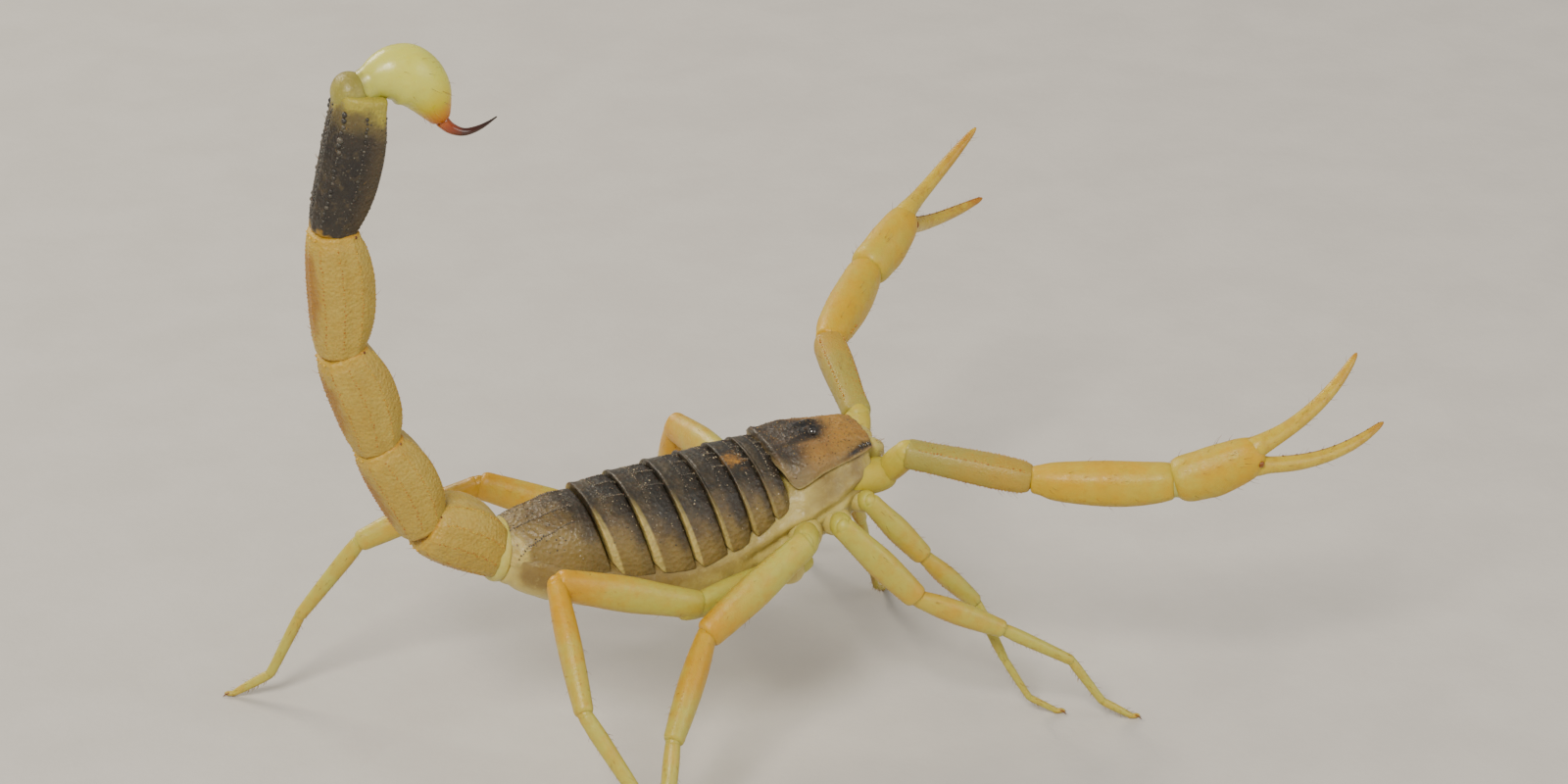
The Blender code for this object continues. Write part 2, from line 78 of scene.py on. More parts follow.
def rings_of(node, near, axis=None):
    """The rings that a lofted solid runs through, the one nearest to a point first."""
    bm = bmesh.new()
    bm.from_mesh(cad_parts[node].data)
    bmesh.ops.remove_doubles(bm, verts=bm.verts, dist=2e-6)
    bm.verts.index_update()
    plain = bm.copy()
    bmesh.ops.dissolve_limit(plain, angle_limit=0.002, verts=plain.verts, edges=plain.edges)
    if axis:
        ends = [face for face in plain.faces if abs(face.normal.dot(axis)) > 0.8]
        ends.sort(key=lambda face: -face.calc_area())
    else:
        ends = sorted(plain.faces, key=lambda face: -len(face.verts))
    cap = min(ends[:2], key=lambda face: (face.calc_center_median() - near).length)
    middle, normal = cap.calc_center_median(), cap.normal.copy()
    reach = max((corner.co - middle).length for corner in cap.verts) * 1.01
    ring = {
        v for v in bm.verts if abs((v.co - middle).dot(normal)) < 4e-6 and (v.co - middle).length < reach
    }
    seen = set(ring)
    rings = []
    while ring:
        rings.append([v.co.copy() for v in sorted(ring, key=lambda v: v.index)])
        ring = {edge.other_vert(v) for v in ring for edge in v.link_edges} - seen
        seen |= ring
    bm.free()
    plain.free()
    return rings


def middle_of(ring):
    return sum(ring, Vector()) / len(ring)


def axis_of(place, k):
    """One axis of a place: 0 aside, 1 towards its back, 2 along it."""
    return Vector(place.to_3x3().col[k])


def frame_along(start, end, up):
    """Matrix whose Z runs from start to end and whose Y leans towards up."""
    along = (end - start).normalized()
    side = up.cross(along).normalized()
    place = Matrix((side, along.cross(side), along)).transposed().to_4x4()
    place.translation = start
    return place


def straight_run(rings, up=UP):
    """Place of a straight run of rings, and its rows: z, half width, half height, x, y, tilt."""
    middles = [middle_of(ring) for ring in rings]
    place = frame_along(middles[0], middles[-1], up)
    back = place.inverted()
    rows = []
    for ring, middle in zip(rings, middles):
        points = np.array([back @ point / MM for point in ring])
        low, high = points.min(0), points.max(0)
        lean = np.polyfit(points[:, 1], points[:, 2], 1)[0] if high[1] - low[1] > 0.1 else 0
        wide, tall = (high[:2] - low[:2]) / 2
        x, y = (high[:2] + low[:2]) / 2
        rows.append(((back @ middle / MM).z, wide, tall, x, y, atan(lean)))
    return place, np.array(rows)


def curved_run(rings, sag=None):
    """Place and rows of a run that bends in one plane; its Y points to where it bows."""
    middles = [middle_of(ring) for ring in rings]
    chord = (middles[-1] - middles[0]).normalized()
    bows = [(m - middles[0]) - chord * (m - middles[0]).dot(chord) for m in middles]
    bow = sag or max(bows, key=lambda b: b.length)
    place = frame_along(middles[0], middles[-1], bow)
    back = place.inverted()
    centres = [back @ m / MM for m in middles]
    rows = []
    for k, (ring, at) in enumerate(zip(rings, centres)):
        step = centres[min(k + 1, len(rings) - 1)] - centres[max(k - 1, 0)]
        tilt = atan2(-step.y, step.z)
        points = np.array([back @ point / MM - at for point in ring])
        upward = points[:, 1] * cos(tilt) + points[:, 2] * sin(tilt)
        wide = (points[:, 0].max() - points[:, 0].min()) / 2
        rows.append((at.z, wide, (upward.max() - upward.min()) / 2, at.x, at.y, tilt))
    return place, np.array(rows)


def smooth_rows(rows, steps):
    """More rows on a smooth curve through these."""
    count = len(rows)
    made = []
    for k in range(count - 1):
        a, b, c, d = (rows[min(max(k + j, 0), count - 1)] for j in (-1, 0, 1, 2))
        for step in range(steps):
            t = step / steps
            curve = 2 * b + (c - a) * t + (2 * a - 5 * b + 4 * c - d) * t**2
            made.append(0.5 * curve + 0.5 * (3 * b - a - 3 * c + d) * t**3)
    made.append(rows[-1])
    return np.array(made)


def closed(rows, size, behind, beyond):
    """The rows with one more of this size at each end, so that both ends are round."""
    ends = rows[[0, -1]].copy()
    ends[:, 1:3] *= size
    ends[:, 0] += (-behind, beyond)
    return np.array([ends[0], *rows, ends[1]])


def fitted(rows, pattern, full=1.04, wide=1.0, hold=0.1):
    """Rows at the pattern's shares of a run, with its widths and heights times the run's own."""
    z = rows[:, 0]
    made = []
    for share, w, *more in pattern:
        h, lift = (*more, 0)[:2] if more else (w, 0)
        at = min(max(share, hold), 1 - hold) * z[-1]
        own_w, own_h, x, y = (np.interp(at, z, rows[:, k]) for k in (1, 2, 3, 4))
        made.append((share * z[-1], w * own_w * full * wide, h * own_h * full, x, y + lift, 0))
    return np.array(made)


# Modelling


def deselect():
    for obj in bpy.context.selected_objects:
        obj.select_set(False)


def pick(obj):
    deselect()
    obj.select_set(True)
    bpy.context.view_layer.objects.active = obj


def smooth(obj, levels):
    """Applies a rounding to a piece and shades it smooth."""
    if levels:
        rounding = obj.modifiers.new("rounding", "SUBSURF")
        rounding.levels = levels
        rounding.render_levels = levels
        bpy.ops.object.modifier_apply(modifier=rounding.name)
    bpy.ops.object.shade_smooth()


def new_piece(name, size):
    """Names the primitive just added and stretches it about the origin."""
    obj = bpy.context.object
    obj.name = name
    bpy.ops.object.mode_set(mode="EDIT")
    bpy.ops.mesh.select_all(action="SELECT")
    bpy.ops.transform.resize(value=size, center_override=(0, 0, 0))
    bpy.ops.object.mode_set(mode="OBJECT")
    return obj


def turn(angle, centre):
    """Turns what is selected about X, as a right hand would."""
    bpy.ops.transform.rotate(value=-angle, orient_axis="X", orient_type="GLOBAL", center_override=centre)


def squarish(power):
    """Section between a circle, at 2, and a square: how far out it lies in each direction."""
    return lambda a: (abs(cos(a)) ** power + abs(sin(a)) ** power) ** (-1 / power)


def bell(value, middle, width, power=2):
    """1 at the middle, and next to nothing two widths away."""
    return np.exp(-(((value - middle) / width) ** power))


def clamp(value):
    return np.minimum(np.maximum(value, 0.0), 1.0)


def keeled(power, keels, height=0.05, furrow=0.0):
    """Squarish section with keels at these degrees from the top on both sides, and a furrow on top."""

    def reach(a):
        from_top = abs((90 - a * 180 / pi + 180) % 360 - 180)
        out = squarish(power)(a)
        if any(abs(from_top - keel) < 3 for keel in keels):
            out *= 1 + height
        return out * (1 - furrow * max(0.0, 1 - from_top / 24))

    return reach


def grow(name, rows, sides=16, section=None, flat_under=1.0, levels=1):
    """A closed piece drawn from a circle through the rows, then smoothed."""
    deselect()
    bpy.ops.mesh.primitive_circle_add(vertices=sides, radius=MM, fill_type="NGON")
    obj = bpy.context.object
    obj.name = name
    bpy.ops.object.mode_set(mode="EDIT")
    if section:
        groups = {}
        for k, corner in enumerate(obj_corners(obj)):
            groups.setdefault(round(section(atan2(corner.y, corner.x)), 4), []).append(k)
        for reach, chosen in groups.items():
            select_corners(obj, chosen)
            bpy.ops.transform.resize(value=(reach, reach, 1), center_override=(0, 0, 0))
    if flat_under != 1:
        lower = [k for k, corner in enumerate(obj_corners(obj)) if corner.y < -1e-6]
        select_corners(obj, lower)
        bpy.ops.transform.resize(value=(1, flat_under, 1), center_override=(0, 0, 0))
    bpy.ops.mesh.select_all(action="SELECT")
    z, wide, tall, x, y, tilt = rows[0]
    bpy.ops.transform.resize(value=(wide, tall, 1), center_override=(0, 0, 0))
    if tilt:
        turn(tilt, (0, 0, 0))
    bpy.ops.transform.translate(value=(x * MM, y * MM, z * MM))
    for before, row in zip(rows, rows[1:]):
        step = ((row[3] - before[3]) * MM, (row[4] - before[4]) * MM, (row[0] - before[0]) * MM)
        bpy.ops.mesh.extrude_region_move(TRANSFORM_OT_translate={"value": step})
        centre = (row[3] * MM, row[4] * MM, row[0] * MM)
        if abs(row[5] - before[5]) > 1e-5:
            turn(row[5] - before[5], centre)
        bpy.ops.transform.resize(
            value=(row[1] / before[1], row[2] / before[2], 1), orient_type="GLOBAL",
            orient_matrix=Matrix.Rotation(row[5], 3, "X"), orient_matrix_type="GLOBAL",
            center_override=centre
        )
    bpy.ops.mesh.select_mode(type="EDGE")
    bpy.ops.mesh.select_all(action="DESELECT")
    bpy.ops.mesh.select_non_manifold()
    bpy.ops.mesh.edge_face_add()
    bpy.ops.mesh.select_all(action="SELECT")
    bpy.ops.mesh.normals_make_consistent(inside=False)
    bpy.ops.mesh.select_mode(type="VERT")
    bpy.ops.object.mode_set(mode="OBJECT")
    smooth(obj, levels)
    return obj


def obj_corners(obj):
    return [corner.co.copy() for corner in bmesh.from_edit_mesh(obj.data).verts]


def select_corners(obj, chosen):
    bpy.ops.mesh.select_all(action="DESELECT")
    bm = bmesh.from_edit_mesh(obj.data)
    bm.verts.ensure_lookup_table()
    for k in chosen:
        bm.verts[k].select = True
    bm.select_flush_mode()
    bmesh.update_edit_mesh(obj.data)


def points_of(obj):
    flat = np.empty(len(obj.data.vertices) * 3, np.float32)
    obj.data.vertices.foreach_get("co", flat)
    return flat.reshape(-1, 3).astype(float) / MM


def mark(obj, rows, tones=(0.5,)):
    """Writes for each point how far along, aside and up it lies, and its tone, for the finishes."""
    points = points_of(obj)
    line = rows[:, [3, 4, 0]]
    steps = line[1:] - line[:-1]
    lengths = np.linalg.norm(steps, axis=1)
    offset = points[:, None] - line[None, :-1]
    share = np.clip((offset * steps).sum(2) / lengths**2, 0, 1)
    gaps = np.linalg.norm(offset - share[..., None] * steps, axis=2)
    nearest = gaps.argmin(1)
    picked = np.arange(len(points))
    inside = share[picked, nearest]
    walked = np.concatenate([[0], np.cumsum(lengths)])
    along = (walked[nearest] + inside * lengths[nearest]) / walked[-1]
    off = offset[picked, nearest] - inside[:, None] * steps[nearest]
    tilt = rows[nearest, 5]
    side = off[:, 0] / rows[:, 1].max()
    height = (off[:, 1] * np.cos(tilt) + off[:, 2] * np.sin(tilt)) / rows[:, 2].max()
    tone = np.interp(along, np.linspace(0, 1, len(tones)), tones) if len(tones) > 1 else tones[0]
    write_mark(obj, along, side, height, tone)


def write_mark(obj, along, side, height, tone):
    values = np.zeros((len(obj.data.vertices), 4), np.float32)
    values[:, 0], values[:, 1], values[:, 2], values[:, 3] = along, side, height, tone
    layer = obj.data.attributes.new("shell", "FLOAT_COLOR", "POINT")
    layer.data.foreach_set("color", values.ravel())


def press(obj, depth):
    """Moves each point out along its normal by depth(x, y, z, normal), all in millimetres."""
    mesh = obj.data
    moves = []
    for v in mesh.vertices:
        x, y, z = v.co / MM
        moves.append(v.normal * (depth(x, y, z, v.normal) * MM))
    for v, move in zip(mesh.vertices, moves):
        v.co += move
    mesh.update()


def lay(obj, place):
    """Lays a piece into place and leaves its object at the origin."""
    obj.matrix_world = place
    pick(obj)
    bpy.ops.object.transform_apply(location=True, rotation=True, scale=True)


def keep(obj, look, *nodes):
    """Gives a finished piece its finish and its body, and hides the solids it stands for."""
    slot, finish = look
    obj.data.materials.clear()
    obj.data.materials.append(finish)
    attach(obj, "root")
    if nodes:
        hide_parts(*nodes)
    return obj


def limb(name, place, rows, look, nodes=(), tones=(0.5,), **shape):
    """One straight or curved shell piece from its rows to its place."""
    obj = grow(name, rows, **shape)
    mark(obj, rows, tones)
    lay(obj, place)
    return keep(obj, look, *nodes)


trees = {}


def tree_of(obj):
    """The search tree of a piece's faces, made once."""
    if obj.name not in trees:
        corners = [v.co.copy() for v in obj.data.vertices]
        faces = [tuple(p.vertices) for p in obj.data.polygons]
        trees[obj.name] = BVHTree.FromPolygons(corners, faces)
    return trees[obj.name]


def surface(obj, start, way):
    """Where a line from start reaches the outside of a piece, and its normal there."""
    spot, normal = None, None
    at = start
    for _ in range(3):
        hit = tree_of(obj).ray_cast(at, way)
        if hit[0] is None:
            break
        spot, normal = hit[0], hit[1]
        at = hit[0] + way * 1e-6
    return spot, normal


def ball_shape(levels):
    bm = bmesh.new()
    bmesh.ops.create_icosphere(bm, subdivisions=levels, radius=1)
    corners = np.array([v.co for v in bm.verts])
    faces = [tuple(v.index for v in f.verts) for f in bm.faces]
    bm.free()
    return corners, faces, 0


def thorn_shape():
    """A fine four-sided bristle one unit long, bent a little towards +X."""
    sides, bend = 4, 0.25
    corners = []
    for z, radius in ((-0.05, 1.0), (0.4, 0.75), (0.8, 0.45)):
        for k in range(sides):
            a = 2 * pi * k / sides
            corners.append((radius * cos(a), radius * sin(a), z))
    corners.append((0, 0, 1.0))
    faces = [tuple(reversed(range(sides)))]
    for ring in range(2):
        for k in range(sides):
            n = (k + 1) % sides
            low = ring * sides
            faces.append((low + k, low + n, low + sides + n, low + sides + k))
    top = 2 * sides
    faces += [(top + k, top + (k + 1) % sides, 3 * sides) for k in range(sides)]
    return np.array(corners, float), faces, bend


def scatter(name, shape, spots, look):
    """Many small things as one mesh. Spots: point, normal, lean, radius, height, tone."""
    corners, faces, bend = shape
    count = len(corners)
    points, made, tones = [], [], []
    for k, (at, normal, lean, radius, height, tone) in enumerate(spots):
        axis = normal.normalized()
        flat = lean - axis * lean.dot(axis)
        first = flat.normalized() if flat.length > 1e-9 else axis.orthogonal().normalized()
        second = axis.cross(first)
        size = corners * (radius * MM, radius * MM, height * MM)
        size[:, 0] += bend * np.clip(corners[:, 2], 0, 1) ** 2 * height * MM
        turned = size @ np.array([first, second, axis])
        points.append(turned + np.array(at))
        made += [tuple(k * count + v for v in face) for face in faces]
        tones += [tone] * count
    mesh = bpy.data.meshes.new(name)
    mesh.from_pydata(np.concatenate(points).tolist(), [], made)
    mesh.update()
    obj = bpy.data.objects.new(name, mesh)
    bpy.context.scene.collection.objects.link(obj)
    rise = np.tile(corners[:, 2], len(spots))
    write_mark(obj, 0.5, 0, rise, np.array(tones))
    pick(obj)
    bpy.ops.object.shade_smooth()
    return keep(obj, look)


GRAIN = ball_shape(1)
BEAD = ball_shape(2)
BRISTLE = thorn_shape()


# Finishes

DEPTH = 1.27


def rich(colour):
    """The colour a little deeper and stronger, because the soft light pales it."""
    grey = 0.21 * colour[0] + 0.72 * colour[1] + 0.07 * colour[2]
    return tuple(max(0.002, (grey + (c - grey) * DEPTH) * 0.86) for c in colour)


class Finish:
    """A finish being mixed. Patterns read Object coordinates or the pieces' own marks."""

    def __init__(self, name, roughness, **sockets):
        self.material = bpy.data.materials.new(name)
        self.material.use_nodes = True
        self.tree = self.material.node_tree
        self.shader = self.tree.nodes["Principled BSDF"]
        self.set("Roughness", roughness)
        for socket, value in sockets.items():
            self.set(socket.replace("_", " "), value)
        self.place = self.add("ShaderNodeTexCoord").outputs["Object"]
        marks = self.add("ShaderNodeAttribute", attribute_name="shell")
        parts = self.add("ShaderNodeSeparateXYZ")
        self.tree.links.new(marks.outputs["Vector"], parts.inputs[0])
        self.along, self.side, self.height = parts.outputs
        self.tone = marks.outputs["Alpha"]

    def set(self, socket, value):
        self.give(self.shader.inputs[socket], value)

    def give(self, socket, value):
        if isinstance(value, bpy.types.NodeSocket):
            self.tree.links.new(value, socket)
        elif isinstance(value, tuple) and len(value) == 3 and socket.type == "RGBA":
            socket.default_value = (*rich(value), 1)
        else:
            socket.default_value = value

    def add(self, kind, **settings):
        node = self.tree.nodes.new(kind)
        for setting, value in settings.items():
            setattr(node, setting, value)
        return node

    def noise(self, scale, detail=3.0, roughness=0.6):
        node = self.add("ShaderNodeTexNoise")
        self.give(node.inputs["Vector"], self.place)
        for socket, value in (("Scale", scale), ("Detail", detail), ("Roughness", roughness)):
            node.inputs[socket].default_value = value
        return node.outputs["Fac"]

    def cells(self, scale):
        node = self.add("ShaderNodeTexVoronoi")
        self.give(node.inputs["Vector"], self.place)
        node.inputs["Scale"].default_value = scale
        return node.outputs["Distance"]

    def sum(self, first, second, operation="ADD"):
        node = self.add("ShaderNodeMath", operation=operation)
        self.give(node.inputs[0], first)
        self.give(node.inputs[1], second)
        return node.outputs[0]

    def times(self, first, second):
        return self.sum(first, second, "MULTIPLY")

    def spread(self, value, low, high, to_low=0.0, to_high=1.0):
        node = self.add("ShaderNodeMapRange", interpolation_type="SMOOTHSTEP")
        for socket, given in (
            ("Value", value), ("From Min", low), ("From Max", high), ("To Min", to_low), ("To Max", to_high)
        ):
            self.give(node.inputs[socket], given)
        return node.outputs["Result"]

    def uneven(self, value, scale, amount, detail=3, roughness=0.6, low=0.2):
        """A value that wanders up and down by an amount, so that no colour ends in a clean line."""
        wander = self.spread(self.noise(scale, detail, roughness), low, 1 - low, -amount, amount)
        return self.sum(value, wander)

    def patches(self, scale, detail, low, high, share):
        """Cloudy patches of at most this share."""
        return self.times(self.spread(self.noise(scale, detail), low, high), share)

    def ramp(self, value, *stops):
        node = self.add("ShaderNodeValToRGB")
        self.give(node.inputs["Fac"], value)
        bar = node.color_ramp
        while len(bar.elements) < len(stops):
            bar.elements.new(0.5)
        for element, (position, colour) in zip(bar.elements, stops):
            element.position = position
            element.color = (*rich(colour), 1)
        return node.outputs["Color"]

    def mix(self, share, first, second):
        node = self.add("ShaderNodeMix", data_type="RGBA")
        for socket, value in ((0, share), (6, first), (7, second)):
            self.give(node.inputs[socket], value)
        return node.outputs[2]

    def bump(self, *layers):
        """Bumps from (height, depth in millimetres) layers."""
        normal = None
        for height, depth in layers:
            node = self.add("ShaderNodeBump")
            node.inputs["Distance"].default_value = depth * MM
            node.inputs["Strength"].default_value = 1.0
            self.give(node.inputs["Height"], height)
            if normal:
                self.give(node.inputs["Normal"], normal)
            normal = node.outputs["Normal"]
        self.set("Normal", normal)

    def finished(self, colour, sheen, *layers):
        """The material with its colour, its roughness from (scale, detail, low, high), its bumps."""
        scale, detail, low, high = sheen
        self.set("Base Color", colour)
        self.set("Roughness", self.spread(self.noise(scale, detail), 0.3, 0.7, low, high))
        self.bump(*layers)
        return self.material


SOFT = {"Subsurface_Weight": 0.35, "Subsurface_Radius": (1.0, 0.62, 0.28), "Subsurface_Scale": 0.0009}
PALE = (0.50, 0.47, 0.155)
AMBER = (0.55, 0.325, 0.07)
RUST = (0.36, 0.13, 0.03)


def shell_finish(name, root, tip, rim, roughness=0.38, gloss=0.5, grain=0.03):
    """Clear horny shell: root to tip colour by its tone, mottled and fine-grained, with painted shade
    below.
    """
    f = Finish(name, roughness, Specular_IOR_Level=gloss, **SOFT)
    tone = f.uneven(f.tone, 420, 0.22, 4, 0.65, 0.3)
    colour = f.mix(f.spread(tone, 0.0, 1.0), root, tip)
    cloud = f.spread(f.noise(1500, 3), 0.42, 0.72)
    colour = f.mix(f.times(cloud, 0.22), colour, tuple(c * 0.72 for c in tip))
    fleck = f.spread(f.cells(3800), 0.16, 0.02)
    colour = f.mix(f.times(fleck, 0.3), colour, rim)
    # Painted shade: the underside darkens towards the rim colour, which also colours the flecks.
    shade = f.spread(f.height, -0.55, -1.05, 0.0, 0.55)
    colour = f.mix(shade, colour, rim)
    return f.finished(
        colour, (2600, 2, roughness - 0.07, roughness + 0.12), (f.noise(900, 2), 0.05),
        (f.noise(6500, 2), grain)
    )


def tail_finish():
    """Amber tail rings: rusty lower edge, warm collar at the far end, satin and fine-grained."""
    f = Finish("tail_amber", 0.4, **SOFT)
    drift = f.spread(f.noise(300, 4, 0.6), 0.3, 0.7)
    colour = f.mix(drift, (0.475, 0.365, 0.13), (0.425, 0.31, 0.105))
    speck = f.spread(f.noise(3600, 3, 0.7), 0.42, 0.62)
    colour = f.mix(f.times(speck, 0.28), colour, (0.34, 0.235, 0.065))
    colour = f.mix(f.patches(1300, 3, 0.45, 0.7, 0.25), colour, (0.42, 0.27, 0.06))
    under = f.uneven(f.height, 700, 0.06)
    colour = f.mix(f.spread(under, -0.8, -0.97, 0.0, 0.8), colour, (0.29, 0.145, 0.045))
    worn = f.uneven(f.along, 1100, 0.03)
    colour = f.mix(f.times(f.spread(worn, 0.86, 1.0), 0.35), colour, (0.56, 0.36, 0.07))
    ends = f.sum(f.spread(f.along, 0.045, 0.0), f.spread(f.along, 0.975, 1.0), "MAXIMUM")
    colour = f.mix(f.times(ends, 0.6), colour, (0.40, 0.20, 0.045))
    return f.finished(
        colour, (2400, 2, 0.44, 0.62), (f.noise(800, 2), 0.06), (f.cells(3600), 0.07),
        (f.noise(7500, 2), 0.03)
    )


def charcoal_finish():
    """Fifth ring: charcoal, browner on its back, with a yellow far end."""
    f = Finish("tail_charcoal", 0.42, Subsurface_Weight=0.08, Subsurface_Scale=0.0005)
    drift = f.spread(f.noise(350, 4, 0.65), 0.3, 0.7)
    colour = f.mix(drift, (0.016, 0.0135, 0.012), (0.032, 0.026, 0.019))
    back = f.spread(f.height, -0.1, 0.7)
    colour = f.mix(f.times(back, 0.8), colour, (0.072, 0.053, 0.030))
    patch = f.spread(f.noise(1500, 3), 0.52, 0.7)
    colour = f.mix(f.times(patch, 0.35), colour, (0.12, 0.092, 0.05))
    end = f.uneven(f.along, 700, 0.04, 2)
    end = f.sum(end, f.spread(f.height, -0.5, 0.9, -0.03, 0.06))
    colour = f.mix(f.spread(end, 0.72, 0.86, 0.0, 0.8), colour, (0.15, 0.12, 0.055))
    colour = f.mix(f.spread(end, 0.84, 0.95), colour, (0.40, 0.35, 0.11))
    colour = f.mix(f.spread(end, 0.035, 0.0, 0.0, 0.7), colour, (0.40, 0.24, 0.06))
    return f.finished(
        colour, (2000, 3, 0.3, 0.55), (f.noise(900, 3), 0.09), (f.cells(3600), 0.06),
        (f.noise(7000, 2), 0.025)
    )


def bulb_finish():
    """Poison bulb: smooth lemon with a green root and an orange point."""
    f = Finish(
        "bulb_lemon", 0.3, Subsurface_Weight=0.55, Subsurface_Radius=(1.0, 0.75, 0.25),
        Subsurface_Scale=0.0016, Coat_Weight=0.15, Coat_Roughness=0.2
    )
    way = f.uneven(f.along, 350, 0.03)
    colour = f.ramp(
        way, (0.0, (0.42, 0.40, 0.14)), (0.2, (0.60, 0.60, 0.205)), (0.6, (0.71, 0.70, 0.215)),
        (0.8, (0.68, 0.58, 0.12)), (0.9, (0.60, 0.32, 0.04)), (1.0, (0.42, 0.13, 0.012))
    )
    colour = f.mix(f.patches(1400, 2, 0.5, 0.75, 0.18), colour, (0.50, 0.40, 0.09))
    return f.finished(colour, (1800, 2, 0.26, 0.42), (f.noise(500, 2), 0.05), (f.noise(4500, 2), 0.008))


def sting_finish():
    f = Finish("sting_dark", 0.14, Coat_Weight=0.5, Coat_Roughness=0.08)
    way = f.uneven(f.along, 900, 0.03, 2)
    colour = f.ramp(
        way, (0.0, (0.42, 0.13, 0.012)), (0.2, (0.26, 0.055, 0.008)), (0.42, (0.05, 0.012, 0.006)),
        (1.0, (0.012, 0.008, 0.007))
    )
    return f.finished(colour, (2600, 2, 0.1, 0.2), (f.noise(1600, 2), 0.012))


def plate_finish():
    """Back plates: slate on top, then brown, then olive, each with painted shade in its hollow front and a
    pale rim.
    """
    f = Finish("back_slate", 0.46, Subsurface_Weight=0.12, Subsurface_Scale=0.0006)
    low = f.uneven(f.height, 520, 0.16, 5, 0.7, 0.25)
    colour = f.mix(f.spread(low, 0.85, 0.28), (0.020, 0.019, 0.017), (0.110, 0.077, 0.038))
    colour = f.mix(f.spread(low, 0.55, 0.05), colour, (0.215, 0.16, 0.068))
    swell = f.times(f.spread(f.along, 0.7, 0.3), f.spread(f.noise(900, 4), 0.3, 0.7, 0.02, 0.26))
    colour = f.mix(swell, colour, (0.17, 0.125, 0.065))
    # Painted shade: the front of each plate, where it tucks under the plate before, darkens almost to
    # black, most on top.
    hollow = f.times(f.spread(f.along, 0.5, 0.88), f.spread(low, 0.0, 0.4, 0.35, 0.8))
    colour = f.mix(hollow, colour, (0.020, 0.016, 0.012))
    aside = f.sum(f.side, 0, "ABSOLUTE")
    width = f.sum(f.times(f.times(aside, aside), 0.13), 0.025)
    band = f.spread(f.sum(f.along, width, "SUBTRACT"), 0.045, -0.03)
    strength = f.spread(aside, 0.42, 0.9, 0.0, 0.95)
    worn = f.spread(f.noise(1300, 4), 0.3, 0.6, 0.6, 1.0)
    colour = f.mix(f.times(f.times(band, strength), worn), colour, (0.52, 0.43, 0.19))
    dust = f.spread(f.noise(4200, 4, 0.75), 0.60, 0.72)
    colour = f.mix(f.times(dust, 0.35), colour, (0.34, 0.27, 0.17))
    spot = f.spread(f.sum(f.tone, f.spread(f.noise(1700, 3), 0.3, 0.7, -0.45, 0.2)), 0.1, 0.9)
    lumps = f.spread(f.noise(3000, 3), 0.35, 0.6, 0.35, 0.85)
    colour = f.mix(f.times(spot, lumps), colour, (0.40, 0.215, 0.075))
    return f.finished(
        colour, (1900, 3, 0.36, 0.6), (f.noise(700, 4), 0.08), (f.cells(2600), 0.07),
        (f.noise(6000, 2), 0.03)
    )


def shield_finish():
    """Head shield: its regional colours are painted on as a tint, then mottled and grained."""
    f = Finish("head_shield", 0.44, Subsurface_Weight=0.12, Subsurface_Scale=0.0006)
    tint = f.add("ShaderNodeAttribute", attribute_name="tint").outputs["Color"]
    colour = f.mix(f.patches(800, 4, 0.5, 0.72, 0.4), tint, (0.14, 0.085, 0.04))
    colour = f.mix(f.patches(2400, 4, 0.58, 0.72, 0.22), colour, (0.42, 0.28, 0.11))
    return f.finished(
        colour, (1900, 3, 0.34, 0.56), (f.noise(900, 4), 0.08), (f.cells(2800), 0.07),
        (f.noise(6000, 2), 0.03)
    )


def skin_finish(name, pale, brown):
    """Soft side and belly skin: translucent, folded, browner where its tone is high."""
    f = Finish(
        name, 0.42, Subsurface_Weight=0.5, Subsurface_Radius=(1.0, 0.75, 0.35), Subsurface_Scale=0.0012
    )
    tone = f.uneven(f.tone, 430, 0.15, 4, 0.65, 0.3)
    colour = f.mix(f.spread(tone, 0.0, 1.0), pale, brown)
    colour = f.mix(f.patches(2100, 3, 0.55, 0.75, 0.3), colour, (0.60, 0.55, 0.27))
    return f.finished(colour, (2200, 2, 0.34, 0.55), (f.noise(650, 4), 0.12), (f.noise(3800, 3), 0.04))


def small_finish(name, dark, pale, roughness=0.35, soft=0.1):
    """For small repeated things, which take their shade from their own tone."""
    f = Finish(name, roughness, Subsurface_Weight=soft, Subsurface_Scale=0.0004)
    tone = f.uneven(f.tone, 2400, 0.1, 2, low=0.3)
    return f.finished(
        f.mix(f.spread(tone, 0.0, 1.0), dark, pale), (3000, 2, roughness - 0.06, roughness + 0.1),
        (f.noise(5000, 2), 0.015)
    )


def eye_finish():
    f = Finish("eye_black", 0.05, Coat_Weight=1.0, Coat_Roughness=0.02, Specular_IOR_Level=0.8)
    return f.finished(
        f.mix(f.spread(f.noise(1500, 2), 0.4, 0.6), (0.006, 0.005, 0.004), (0.016, 0.011, 0.007)),
        (1200, 2, 0.03, 0.07), (f.noise(900, 1), 0.004)
    )


def floor_finish():
    f = Finish("studio_floor", 0.75)
    grain = f.spread(f.noise(90, 4), 0.3, 0.7)
    f.set("Base Color", f.mix(grain, (0.60, 0.585, 0.56), (0.64, 0.625, 0.60)))
    f.bump((f.noise(900, 3), 0.05))
    return f.material


# Each look is a slot of the record and the finish that fills it
LEG = ("straw_shell", shell_finish("leg_straw", PALE, AMBER, (0.46, 0.27, 0.08)))
ARM = (
    "straw_shell",
    shell_finish("arm_straw", (0.52, 0.45, 0.135), (0.57, 0.365, 0.075), (0.44, 0.24, 0.05), 0.42, 0.4)
)
UPPER_ARM = (
    "straw_shell",
    shell_finish(
        "arm_olive", (0.36, 0.315, 0.11), (0.44, 0.295, 0.085), (0.34, 0.17, 0.04), 0.42, grain=0.05
    )
)
FINGER = ("amber_shell", shell_finish("finger_amber", (0.57, 0.44, 0.12), RUST, (0.44, 0.22, 0.045), 0.32))
TAIL = ("amber_shell", tail_finish())
CHARCOAL = ("charcoal_shell", charcoal_finish())
BULB = ("lemon_bulb", bulb_finish())
STING = ("dark_sting", sting_finish())
PLATE = ("slate_plates", plate_finish())
SHIELD = ("golden_carapace", shield_finish())
SKIN = ("pale_membrane", skin_finish("side_skin", (0.56, 0.475, 0.205), (0.215, 0.155, 0.066)))
